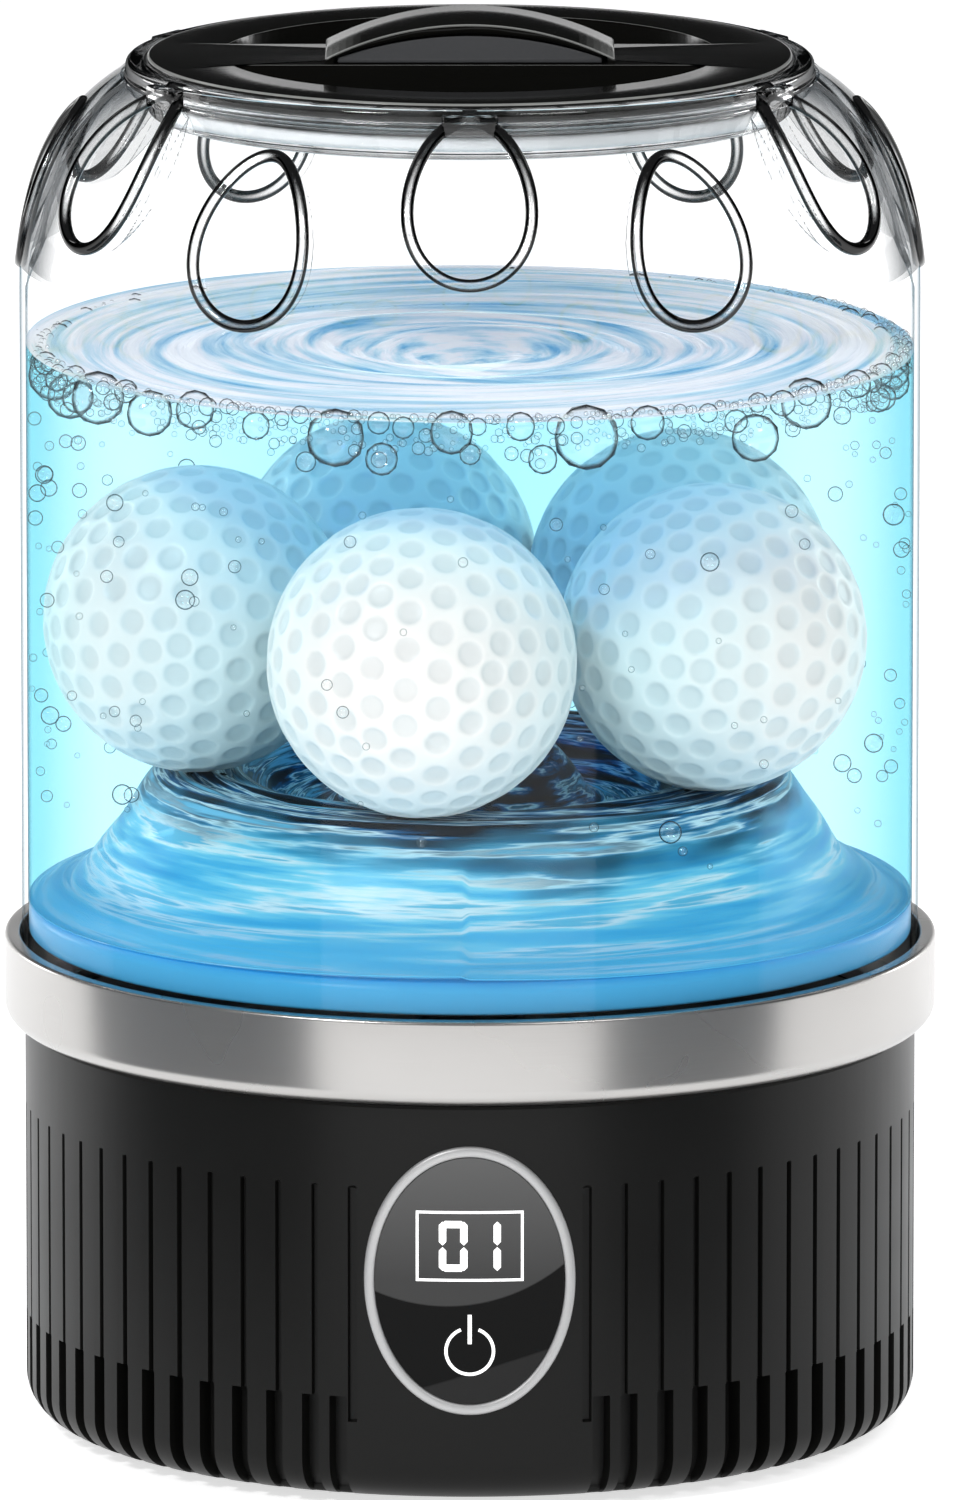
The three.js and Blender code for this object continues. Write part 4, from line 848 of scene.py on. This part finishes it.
def readout():
    """The frame and the lit bars."""
    strips = []
    for level in (FRAME_HALF_HEIGHT, FRAME_LINE - FRAME_HALF_HEIGHT):
        top = READOUT_CENTRE + level
        strips.append([((x, top), (x, top - FRAME_LINE)) for x in
                       np.linspace(-FRAME_HALF_WIDTH, FRAME_HALF_WIDTH, 13)])
    reach = FRAME_HALF_HEIGHT - FRAME_LINE
    for side in (-1, 1):
        sides = [side * (FRAME_HALF_WIDTH - inset) for inset in (0, FRAME_LINE)]
        strips.append([[(x, READOUT_CENTRE + end * reach) for x in sides] for end in (-1, 1)])
    for centre, letters in READOUT:
        middle = centre if len(letters) > 2 else centre - DIGIT_WIDTH / 2 + BAR / 2
        strips += [segment(middle, letter) for letter in letters]
    return joined("readout", [strip("bar", pairs) for pairs in strips], 35)


def touch_mark():
    """The open circle with a bar at its top."""
    radii = (TOUCH_R - TOUCH_LINE / 2, TOUCH_R + TOUCH_LINE / 2)
    arc = [[(r * math.sin(turn), TOUCH_CENTRE + r * math.cos(turn)) for r in radii]
           for turn in np.radians(np.linspace(TOUCH_OPEN, 360 - TOUCH_OPEN, 61))]
    bar = [[(side * TOUCH_BAR_HALF, TOUCH_CENTRE + z) for side in (-1, 1)] for z in (1.0, 5.1)]
    return joined("touch_mark", [strip("arc", arc), strip("bar", bar)], 35)


# White acrylic diffuser, lit from behind: even and bright, without a hot spot.
lit_white = principled("acrylic_diffuser_lit_white", {"Base Color": "#ffffff", "Roughness": 0.4,
                                                      "Emission Color": "#ffffff",
                                                      "Emission Strength": 0.6})
dress(readout(), lit_white, "base", "display")
dress(touch_mark(), lit_white, "base", "display")

# %% [markdown]
# ## Cup
# The cup is one moulding: a straight wall, a domed shoulder with twelve egg-shaped flats sunk in
# it, and a neck for the lid. Booleans would leave long thin faces that spoil the shine of clear
# plastic. The wall is a fine grid instead, turned from a profile, and every point that lies inside
# the outline of a flat is pressed down to the flat's plane, with a soft edge.

# %% Describe the dome and its flats
CUP_WALL_THIN, CUP_WALL_THICK = 0.8, 2.0
NECK_R = LID_R + 3.7
COLLAR_R = NECK_R - 0.7
DOME_REACH, DOME_RISE = 24, 28.5
DOME_CENTRE = CUP_R - DOME_REACH
DOME_END = math.acos((NECK_R - DOME_CENTRE) / DOME_REACH)
NECK_LEVEL = CUP_TOP - 2.29
DOME_START = NECK_LEVEL - DOME_RISE * math.sin(DOME_END)
FLAT_WIDTH, FLAT_LENGTH, FLAT_TAPER = 18.0, 25.4, 0.24
# Each kind of flat is its middle's height, how deep it is sunk, its tilt and its length.
LOW_FLAT = (DOME_START + 10.86, 2.6, 20.9, FLAT_LENGTH)
HIGH_FLAT = (DOME_START + 16.84, 3.6, 36, FLAT_LENGTH + 1.5)
FLATS = [(HIGH_FLAT if step % 2 == 0 else LOW_FLAT, 30 * step) for step in range(12)]
print("dome starts at", round(DOME_START, 2), "with", len(FLATS), "flats")


def dome_radius(z):
    """The dome's radius at a height."""
    if z <= DOME_START:
        return CUP_R
    return DOME_CENTRE + DOME_REACH * math.sqrt(max(1 - ((z - DOME_START) / DOME_RISE) ** 2, 0))


def flat_axes(kind, degrees):
    """A flat's middle, and its directions across, up and out."""
    centre, sink, tilt, _ = kind
    lean, turn = math.radians(tilt), math.radians(degrees)
    radial, across, up = around(1, turn, 0), around(1, turn + math.pi / 2, 0), np.array([0, 0, 1])
    middle = radial * (dome_radius(centre) - sink) + up * centre
    return (middle, across, up * math.cos(lean) - radial * math.sin(lean),
            radial * math.cos(lean) + up * math.sin(lean))


# %% Shape the cup
def soft_step(low_end, high_end, value):
    """0 below a range, 1 above it and a smooth rise between."""
    share = np.clip((value - low_end) / (high_end - low_end), 0, 1)
    return share * share * (3 - 2 * share)


def press_flats(points, depth_below, grow):
    """Presses points down to the planes of the flats, a depth below them, with a soft edge."""
    for kind, degrees in FLATS:
        middle, across, up, out = flat_axes(kind, degrees)
        away = points - middle
        u, v, rise = away @ across, away @ up, away @ out
        near = (np.abs(u) < 14) & (np.abs(v) < 18) & (rise > -12)
        u, v, rise = u[near], v[near], rise[near]
        half_u, half_v = FLAT_WIDTH / 2 + grow, kind[3] / 2 + grow
        taper = 1 + FLAT_TAPER * np.clip(-v / half_v, -1, 1)
        share_out = np.maximum(np.hypot(u / (half_u * taper), v / half_v), 1e-6)
        inset = np.hypot(u, v) * (1 / share_out - 1)
        push = np.maximum(rise + depth_below, 0) * soft_step(0.3, 1.3, inset)
        points[near] -= push[:, None] * out


def cup_wall():
    """The cup's wall as one closed skin, outside up and inside down: thin below, thicker above."""
    slopes = np.linspace(0, DOME_END, 104)
    wall = [(CUP_R, z) for z in np.append(np.linspace(CUP_BOTTOM, DOME_START - 8, 7), DOME_START - 4)]
    outer = np.array(wall + list(zip(DOME_CENTRE + DOME_REACH * np.cos(slopes),
                                     DOME_START + DOME_RISE * np.sin(slopes))))
    thick = CUP_WALL_THIN + (CUP_WALL_THICK - CUP_WALL_THIN) * soft_step(DOME_START - 4, DOME_START + 6,
                                                                         outer[:, 1])
    normal = np.stack([(outer[:, 0] - DOME_CENTRE) / DOME_REACH ** 2,
                       np.maximum(outer[:, 1] - DOME_START, 0) / DOME_RISE ** 2], axis=1)
    normal /= np.linalg.norm(normal, axis=1)[:, None]
    angles = np.radians(np.arange(0, 360, 0.375))
    skins = []
    for profile, below, grow in ((outer, 0, 0), (outer - normal * thick[:, None], CUP_WALL_THICK, 0.2)):
        skins.append(around(profile[:, 0], angles[:, None], profile[:, 1]))
        press_flats(skins[-1].reshape(-1, 3), below, grow)
    points = np.concatenate([skins[0], skins[1][:, ::-1]], axis=1).reshape(-1, 3)
    return add_mesh("cup_wall", points, skin_faces(len(angles), 2 * len(outer)), 50, clean=False)


cup = dress(cup_wall(), cup_clear, "cup", "clear_cup", "cup_shell")
cup.data.materials.append(dome_clear)
for face in cup.data.polygons:
    face.material_index = int(face.center.z > (DOME_START - 2) * MM)
print("dome faces:", sum(face.material_index for face in cup.data.polygons))

# %% [markdown]
# The edge of each flat is a rounded bead of plastic, which bends light so strongly that it shows
# as a black, white and black line. It is a tube swept along the line where the flat's outline
# meets the dome. The neck above is a thick turned collar, with a clear tab over each high flat.

# %% Add the beads, the collar and the lid's plug
BEAD_R, BEAD_INSET = 0.9, 0.75
COLLAR_BORE, LID_SEAT_R, LID_SEAT = 42.3, 45.0, LID_TOP - 2.9
TAB_HALF_WIDTH, TAB_REACH = 4.0, 49.4
PLUG_LOW, PLUG_TOP, PLUG_R, PLUG_BORE = low("lid_plug")[2], high("lid_plug")[2], 41.4, 37.0
SEAL_LOW, SEAL_TOP, SEAL_R, SEAL_GROOVE = low("lid_seal")[2], high("lid_seal")[2], 42.0, PLUG_R - 1.6


def bead_path(kind, degrees):
    """Where a flat's outline meets the dome, found by halving the way out along each edge. The
    outline is an egg, narrower at the top."""
    middle, across, up, out = flat_axes(kind, degrees)
    path = []
    for turn in full_turn(120):
        u = (FLAT_WIDTH / 2 - BEAD_INSET) * math.sin(turn) * (1 + FLAT_TAPER * math.cos(turn))
        v = -(kind[3] / 2 - BEAD_INSET) * math.cos(turn)
        near, far = -2.0, 9.0
        for _ in range(24):
            half_way = (near + far) / 2
            x, y, z = middle + across * u + up * v + out * half_way
            if math.hypot(x, y) < dome_radius(z):
                near = half_way
            else:
                far = half_way
        path.append(middle + across * u + up * v + out * (near - 0.25))
    return path


def collar_tab(degrees):
    """A small clear block that joins the collar to the top of a high flat."""
    turn = math.radians(degrees)
    outline = [(-TAB_HALF_WIDTH, COLLAR_R - 1.4), (TAB_HALF_WIDTH, COLLAR_R - 1.4),
               (TAB_HALF_WIDTH - 0.4, TAB_REACH), (0.4 - TAB_HALF_WIDTH, TAB_REACH)]
    tab = prism("tab", outline, NECK_LEVEL - 1.2, CUP_TOP - 0.5, lambda u, v, depth: around(v, turn, depth)
                + around(u, turn + math.pi / 2, 0))
    bevel(tab, 0.35)
    return tab


beads = [swept("bead", bead_path(kind, degrees), BEAD_R, 20) for kind, degrees in FLATS]
dress(joined("flat_rims", beads, 60), bead_clear, "cup", "clear_cup")
collar_profile = rounded(
    [(COLLAR_BORE, NECK_LEVEL - 5.0), (44.5, NECK_LEVEL - 5.0), (45.2, NECK_LEVEL - 1.2),
     (NECK_R, NECK_LEVEL - 0.4), (COLLAR_R, NECK_LEVEL + 0.5), (COLLAR_R, CUP_TOP), (LID_SEAT_R, CUP_TOP),
     (LID_SEAT_R, LID_SEAT), (COLLAR_BORE, LID_SEAT)],
    [0.3, 0.3, 0.4, 0.6, 0.4, 0.9, 0.3, 0.1, 0.3])
band = turned("band", collar_profile, 240)
for kind, degrees in FLATS:
    if kind == HIGH_FLAT:
        cut(band, collar_tab(degrees), "UNION")
dress(joined("neck_collar", [band]), rim_clear, "cup", "clear_cup")
plug_profile = rounded(
    [(PLUG_BORE, PLUG_LOW), (PLUG_R, PLUG_LOW), (PLUG_R, SEAL_LOW - 0.3), (SEAL_GROOVE, SEAL_LOW - 0.3),
     (SEAL_GROOVE, SEAL_TOP + 0.3), (PLUG_R, SEAL_TOP + 0.3), (PLUG_R, PLUG_TOP), (PLUG_BORE, PLUG_TOP)],
    [0.3, 0.3, 0.2, 0.2, 0.2, 0.2, 0.2, 0.3], 3)
dress(turned("plug_ring", plug_profile, 160), rim_clear, "lid", "clear_cup", "lid_plug")
seal_profile = rounded([(SEAL_GROOVE + 0.3, SEAL_LOW), (SEAL_R, SEAL_LOW), (SEAL_R, SEAL_TOP),
                        (SEAL_GROOVE + 0.3, SEAL_TOP)], [0.2, 0.7, 0.7, 0.2])
dress(turned("plug_seal", seal_profile, 160), milky_silicone, "lid_ring", "grey_seal", "lid_seal")

# %% [markdown]
# ## Water
# The water fills the cup to just under the dome. It is one closed body whose colour comes from
# absorption, so it is pale where it is thin and blue where it is deep. Its top is a polar grid
# whose height swirls: rings that widen outwards, turned into a spiral, with a dip in the middle.

# %% Fill the cup
WATER_R, AXIS_GAP = CUP_R - CUP_WALL_THIN - 0.05, 0.05
WATER_TOP, WATER_BOTTOM = CUP_BOTTOM + 91.7, CUP_FLOOR_TOP + 0.1


def swirl_height(radius, turn):
    """The height of the swirling surface above its mean level."""
    phase = 2.0 * turn + 0.9 * math.sin(turn)
    rings = 0.42 * np.cos(radius / 2.1 + phase) * np.exp(-((radius - 18) / 20) ** 2)
    broad = 0.7 * np.cos(radius / 6.5 - turn + 0.6) * np.clip(radius / 30, 0, 1)
    fine = 0.12 * np.cos(radius / 0.9 + 3 * turn)
    dip = -3.2 * np.exp(-((radius / 9.0) ** 2))
    return rings + broad + fine + dip + 0.7 * (radius / WATER_R) ** 3


def water_column(turn):
    """The profile of the water at one turn: swirling top, plain side and bottom."""
    radii = np.linspace(AXIS_GAP, WATER_R, 90)
    side = [(WATER_R, WATER_BOTTOM + 45), (WATER_R, WATER_BOTTOM), (AXIS_GAP, WATER_BOTTOM)]
    return list(zip(radii, WATER_TOP + swirl_height(radii, turn))) + side


water = dress(spun("wash_water", full_turn(240), water_column, 60), water_side, "cup", "clear_cup")
water.data.materials.append(water_top)
for face in water.data.polygons:
    face.material_index = int(face.center.z > (WATER_TOP - 6) * MM and abs(face.normal.z) > 0.3)
print("water surface faces:", sum(face.material_index for face in water.data.polygons))

# %% [markdown]
# ## Foam and bubbles
# Where the water meets the wall it carries a ring of bubbles of every size, and more rise through
# it. Each bubble is a small ball of air; they are scattered by a seeded random draw and joined
# into one mesh. Larger ones are rarer, as in real foam.

# %% Scatter the bubbles
FOAM_SIZES = ((4.0, 14), (3.0, 24), (2.1, 60), (1.5, 150), (1.0, 380), (0.6, 1500), (0.38, 2400))
RISING_TRIES = 260
BALL_R = 21.335
BALL_NODES = [name for name in frame["nodes"] if name.startswith("ball_")]


def ball_grid(detail):
    """The points and faces of an icosphere of radius 1."""
    work = bmesh.new()
    bmesh.ops.create_icosphere(work, subdivisions=detail, radius=1.0)
    points = np.array([vert.co[:] for vert in work.verts])
    faces = np.array([[vert.index for vert in face.verts] for face in work.faces])
    work.free()
    return points, faces


def bubble_mesh(name, spots, detail):
    """Many small balls joined: spots are (x, y, z, radius)."""
    points, faces = ball_grid(detail)
    all_points = np.concatenate([points * radius + (x, y, z) for x, y, z, radius in spots])
    all_faces = np.concatenate([faces + i * len(points) for i in range(len(spots))])
    return add_mesh(name, all_points, all_faces.tolist(), 80, clean=False)


def apart(spot, others):
    """True if a bubble touches none of the others."""
    x, y, z, radius = spot
    return all((x - a) ** 2 + (y - b) ** 2 + (z - c) ** 2 > (radius + r) ** 2 for a, b, c, r in others)


def clear_of_balls(spot):
    """True if a bubble is outside the ring of water that the circling balls sweep through."""
    x, y, z, radius = spot
    ball_x, ball_y, ball_z = middle_of(BALL_NODES[0])
    across = math.hypot(x, y) - math.hypot(ball_x, ball_y)
    return math.hypot(across, z - ball_z) > radius + BALL_R + 0.1


def foam_spots():
    """Bubbles of many sizes packed along the water line, none through another."""
    draw, spots = random.Random(7), []
    for size in [size for size, tries in FOAM_SIZES for _ in range(tries)]:
        radius = size * draw.uniform(0.8, 1.15)
        turn = draw.uniform(0, 2 * math.pi)
        reach = WATER_R - radius - 0.1 - draw.random() ** 2 * 2.5
        level = WATER_TOP + 1.2 - radius * 0.9 - draw.random() ** 2 * 5.0
        spot = (reach * math.sin(turn), -reach * math.cos(turn), level, radius)
        if apart(spot, [s for s in spots if abs(s[0] - spot[0]) < 9 and abs(s[1] - spot[1]) < 9]):
            spots.append(spot)
    return spots


def rising_spots():
    """Loose bubbles in the water near the wall, clear of the balls."""
    draw, spots = random.Random(21), []
    for _ in range(RISING_TRIES):
        radius = 0.4 + 1.2 * draw.random() ** 2.5
        turn = draw.uniform(0, 2 * math.pi)
        reach = WATER_R - radius - 0.15 - 6 * draw.random() ** 4
        level = WATER_TOP - draw.uniform(6, 64)
        spot = (reach * math.sin(turn), -reach * math.cos(turn), level, radius)
        if apart(spot, spots) and clear_of_balls(spot):
            spots.append(spot)
    return spots


dress(bubble_mesh("foam_ring", foam_spots(), 2), bubble_clear, "cup", "clear_cup")
dress(bubble_mesh("rising_bubbles", rising_spots(), 3), bubble_clear, "cup", "clear_cup")

# %% [markdown]
# ## Golf balls
# A golf ball is cast white urethane with some 250 dimples laid out on an icosahedron. The same
# layout comes free from an icosphere: its corners are nearly evenly spaced. A finer icosphere is
# then pressed in by a shallow bowl at each of those corners. Each of the five balls is a copy whose
# points are turned its own way, because the box of an object that is turned itself comes out too
# large.

# %% Press the dimples
DIMPLE_R, DIMPLE_DEPTH, DIMPLE_SPLIT = 1.95, 0.4, 5
BALL_TURNS = ((0.2, 0.5, 0.1), (1.1, 0.3, 0.8), (0.6, 1.4, 0.2), (2.1, 0.7, 1.5), (0.9, 2.2, 0.4))


def dimple_directions():
    """252 unit directions: the corners of an icosahedron split five ways along each edge."""
    corners, sides = ball_grid(1)
    spots = {}
    for a, b, c in sides:
        for i in range(DIMPLE_SPLIT + 1):
            for j in range(DIMPLE_SPLIT + 1 - i):
                point = corners[a] * i + corners[b] * j + corners[c] * (DIMPLE_SPLIT - i - j)
                point /= np.linalg.norm(point)
                spots[tuple(np.round(point, 4))] = point
    return np.array(list(spots.values()))


def dimpled_ball():
    """The mesh of a golf ball."""
    directions, faces = ball_grid(7)
    directions /= np.linalg.norm(directions, axis=1)[:, None]
    nearest = (directions @ dimple_directions().T).max(axis=1)
    away = np.arccos(np.clip(nearest, -1, 1)) * BALL_R / DIMPLE_R
    bowl = np.clip(1 - away ** 4, 0, 1) * DIMPLE_DEPTH
    mesh = bpy.data.meshes.new("golf_ball")
    mesh.from_pydata((directions * (BALL_R - bowl)[:, None] * MM).tolist(), [], faces.tolist())
    smooth(mesh, 180)
    return mesh


def ball_finish():
    """Cast urethane under clear lacquer: white with a soft gloss, and painted shade that makes the dimples
    a shade greyer.
    """
    material, tree = new_material("urethane_cast_lacquered_white")
    place = put(tree, "TexCoord").outputs["Object"]
    cloud = put(tree, "TexNoise", {"Vector": place, "Scale": 1 / (14 * MM)})
    land = put(tree, "Mix", {"Factor": cloud, "A": "#fbf3ef", "B": "#f6efeb"}, data_type="RGBA")
    # Painted shade: the deeper a point lies in a dimple, the greyer its colour.
    reach = put(tree, "VectorMath", {0: place}, operation="LENGTH")
    sunk = put(tree, "MapRange", {"Value": reach, "From Min": (BALL_R - 0.02) * MM,
                                  "From Max": (BALL_R - 0.6 * DIMPLE_DEPTH) * MM})
    tone = put(tree, "Mix", {"Factor": sunk, "A": land, "B": "#e6e2e0"}, data_type="RGBA")
    shader = put(tree, "BsdfPrincipled", {"Base Color": tone, "Roughness": 0.38, "IOR": 1.5})
    put(tree, "OutputMaterial", {"Surface": shader})
    return material


ball_mesh, ball_white = dimpled_ball(), ball_finish()
for node, turns in zip(BALL_NODES, BALL_TURNS):
    mesh = ball_mesh.copy()
    mesh.transform(Euler(turns).to_matrix().to_4x4())
    ball = add_object("golf_" + node, mesh)
    ball.location = [value * MM for value in middle_of(node)]
    dress(ball, ball_white, "ball_ring", "golf_ball", node)

# %% [markdown]
# ## Agitator
# Under the balls spins a black disc with curved vanes, a ring of soft nubs and a finned cap. The
# frame's solids have the right places; these pieces repeat them with finer curves and rounded
# edges, because they are seen through the water. The cap keeps the frame's shape.

# %% Make the disc, the vanes and the nubs
DISC_R = half_size("impeller", 0) + 0.3
PAD_LOW, PAD_TOP, PAD_BORE, PAD_THICK = low("scrub_pad")[2], high("scrub_pad")[2], 31.5, 1.8
DISC_LOW, DISC_TOP = PAD_LOW - 2.7, PAD_LOW - 0.3
HUB_R, BORE_R = 8, 3.3
VANES, VANE_START, VANE_LENGTH, VANE_SWEEP, VANE_HALF = 6, 6.5, 23, 55, 0.9
NUB_CIRCLES = ((35, 18), (39.4, 22))


def vane(first):
    """One swept vane that starts at an angle."""
    left, right = [], []
    for share in np.linspace(0, 1, 16):
        radius = VANE_START + VANE_LENGTH * share
        for edge, way in ((left, 1), (right, -1)):
            turn = math.radians(VANE_SWEEP * share + first) + way * VANE_HALF / radius
            edge.append((radius * math.cos(turn), radius * math.sin(turn)))
    return prism("vane", right[::-1] + left, DISC_TOP - 0.5, DISC_TOP + 3.5, flat_up, 50)


def agitator_disc():
    """The plate with its hub and six swept vanes."""
    hub_low, hub_top = low("impeller")[2], high("impeller")[2]
    profile = rounded([(BORE_R, hub_low), (HUB_R, hub_low), (HUB_R, DISC_LOW), (DISC_R, DISC_LOW),
                       (DISC_R, DISC_TOP), (HUB_R, DISC_TOP), (HUB_R, hub_top), (BORE_R, hub_top)],
                      [0.2, 0.4, 1.0, 0.8, 0.8, 1.2, 0.6, 0.2])
    vanes = [vane(i * 360 / VANES) for i in range(VANES)]
    return joined("agitator_disc", [turned("agitator_disc", profile, 160)] + vanes)


def nub_ring():
    """The soft ring that carries two circles of tapered nubs."""
    pad_r, top = DISC_R - 0.3, PAD_LOW + PAD_THICK
    profile = rounded([(PAD_BORE, PAD_LOW), (pad_r, PAD_LOW), (pad_r, top), (PAD_BORE, top)],
                      [0.2, 0.5, 0.6, 0.6], 4)
    nub_profile = [(0.01, top - 0.5), (1.4, top - 0.5), (1.25, top + 1), (0.95, PAD_TOP - 0.7),
                   (0.7, PAD_TOP - 0.2), (0.3, PAD_TOP), (0.01, PAD_TOP)]
    pieces = [turned("pad", profile, 160)]
    for circle, count in NUB_CIRCLES:
        for turn in full_turn(count):
            pieces.append(turned("nub", nub_profile, 12, 50))
            pieces[-1].data.transform(Matrix.Translation(around(circle, turn, 0) * MM))
    return joined("scrub_ring", pieces, 45)


dress(agitator_disc(), black_rubber, "agitator", "agitator", "impeller")
dress(nub_ring(), black_rubber, "agitator", "scrub_silicone", "scrub_pad")

# %% [markdown]
# ## Churned water
# The spinning disc whips the water round it into a dark, streaked whirl whose edge rises over the
# nubs and runs out to the wall in rings. It is a thin skin: a polar grid whose height follows that
# crest and whose rings are waves. The blue floor of the cup shows under it.

# %% Spin the water round the disc
CHURN_LEVEL, CHURN_EDGE, CREST, CHURN_THICK = DISC_TOP + 4.1, CUP_FLOOR_TOP + 0.7, 5.3, 0.15
FLOOR_R, FLOOR_BORE, FLOOR_BOSS = CUP_R - CUP_WALL_THIN - 0.15, BORE_R + 3.7, 10


def churn_height(radius, turn):
    """The height of the churned skin: low over the hub, a crest over the nubs, rings outside."""
    crest = CREST * soft_step(24, 34, radius) * (1 - soft_step(42.5, 52, radius))
    base = CHURN_LEVEL - (CHURN_LEVEL - CHURN_EDGE) * soft_step(42, 61, radius)
    waves = 0.5 * np.sin(radius / 1.15 + 1.6 * turn) * soft_step(44, 50, radius)
    inner = (1 - soft_step(38, 44, radius)) * soft_step(9, 14, radius)
    chop = 0.35 * np.sin(radius / 0.8 + 5 * turn) * inner
    cover = (high("agitator_cap")[2] + 0.5 - base) * (1 - soft_step(7, 20, radius))
    return base + crest + waves + chop + cover


def churned_column(turn):
    """The profile of the churned skin at one turn: its top and, a little lower, its underside."""
    radii = np.linspace(AXIS_GAP, WATER_R - 0.1, 120)
    top = churn_height(radii, turn)
    return list(zip(radii, top)) + list(zip(radii[::-1], top[::-1] - CHURN_THICK))


dress(spun("churned_water", full_turn(300), churned_column, 60), water_churned, "cup", "clear_cup")
floor_low, boss_top = low("cup_floor")[2], high("cup_floor")[2]
floor_profile = rounded(
    [(FLOOR_BORE, floor_low), (FLOOR_R, floor_low), (FLOOR_R, CUP_FLOOR_TOP), (FLOOR_BOSS, CUP_FLOOR_TOP),
     (FLOOR_BOSS, boss_top), (FLOOR_BORE, boss_top)], [0.2, 0.4, 1.6, 1.2, 0.8, 0.2], 8)
dress(turned("cup_base", floor_profile), blue_floor, "cup", "clear_cup", "cup_floor")

# %% [markdown]
# ## Lid
# The lid is a gloss black disc with two finger wells, split by a bar that carries a low arched
# grip. The wells are cut with half-round prisms and every edge is rounded a little; the bright
# lines along the edges come partly from the studio light and partly from a painted highlight.

# %% Make the lid, its grip and the insert
WELL_R, WELL_FLOOR, FRONT_EDGE, REAR_EDGE = 34.5, 1.2, 10.7, 8.0
TRAY_LOW, TRAY_R, PLATE_LOW = low("lid_plate")[2], WELL_R + 1.8, LID_TOP - 2.6
GRIP_HALF, GRIP_FOOT, GRIP_FRONT, GRIP_REAR = 20.0, 0.8, 10.1, 7.4
GRIP_RISE = high("lid_grip")[2] - LID_TOP


def half_round(edge, front):
    """A half-round outline in plan, cut off by a straight edge."""
    half = math.acos(edge / WELL_R)
    middle = -math.pi / 2 if front else math.pi / 2
    turns = np.linspace(middle - half, middle + half, 48)
    return [(WELL_R * math.cos(t), WELL_R * math.sin(t)) for t in turns]


def arch(inset, base):
    """The grip's outline, inset by a margin: short upright feet and a shallow arc between them."""
    half_width, rise = GRIP_HALF - inset, GRIP_RISE - inset
    height = rise - GRIP_FOOT
    radius = (half_width ** 2 + height ** 2) / (2 * height)
    half = math.asin(half_width / radius)
    arc = [(radius * math.sin(t), LID_TOP + rise - radius + radius * math.cos(t)) for t in
           np.linspace(half, -half, 40)]
    return [(-half_width, base), (half_width, base)] + arc


def lid_disc():
    """The lid's disc and tray with the two wells."""
    profile = rounded([(0.01, TRAY_LOW), (TRAY_R, TRAY_LOW), (TRAY_R, PLATE_LOW), (LID_R, PLATE_LOW),
                       (LID_R, LID_TOP), (0.01, LID_TOP)], [0, 0.5, 0.3, 0.3, 0.45, 0], 4)
    disc = turned("lid_disc", profile, 240)
    for edge, front in ((FRONT_EDGE, True), (REAR_EDGE, False)):
        cut(disc, prism("well", half_round(edge, front), TRAY_LOW + WELL_FLOOR, LID_TOP + 2, flat_up))
    bevel(disc, 0.45)
    return disc


def grip():
    """The arched grip with its sunk front face."""
    hump = prism("lid_hump", arch(0, LID_TOP - 0.3), -GRIP_REAR, GRIP_FRONT, facing_front)
    cut(hump, prism("inset", arch(1.3, LID_TOP - 0.5), GRIP_FRONT - 1.5, GRIP_FRONT + 1, facing_front))
    bevel(hump, 0.3, 3)
    return hump


def grip_face():
    """The insert that fills the grip's front, a hair smaller than its seat."""
    face = prism("hump_insert", arch(1.75, LID_TOP + 0.1), GRIP_FRONT - 1.2, GRIP_FRONT - 0.45,
                 facing_front)
    bevel(face, 0.2)
    return face


dress(lid_disc(), lid_black, "lid", "lid_black", "lid_plate")
dress(grip(), lid_black, "lid", "lid_black", "lid_grip")
dress(grip_face(), grip_face_painted_light, "lid", "grip_insert", "grip_insert")

# %% [markdown]
# ## Pieces that keep the frame's shape
# Screws, seals, cells and boards inside the washer are right as they are, so they only get their
# finish. The list gives the finish for each slot of the record.

# %% Finish the frame's own pieces
SLOT_FINISH = {
    "base_shell": casing_black, "rubber_foot": black_rubber, "screw_steel": plated_steel,
    "trim_ring": ring_metal, "deck": casing_black, "black_seal": black_rubber, "motor_steel": plated_steel,
    "battery_wrap": shrink_wrap, "cradle": moulded_grey, "circuit_board": solder_mask,
    "panel_bezel": bezel_metal, "panel_lens": lid_black, "display": lid_black, "touch_pad": grey_rubber,
    "clear_cup": blue_floor, "grey_seal": grey_rubber, "bronze_bush": sintered_bronze,
    "agitator": black_rubber, "scrub_silicone": black_rubber, "golf_ball": moulded_grey,
    "lid_black": lid_black, "grip_insert": grip_face_painted_light,
}
for part in frame["record"]["subparts"]:
    for place in frame["nodes"][part["node"]].material_slots:
        place.link = "OBJECT"
        place.material = SLOT_FINISH[part["material_slot"]]
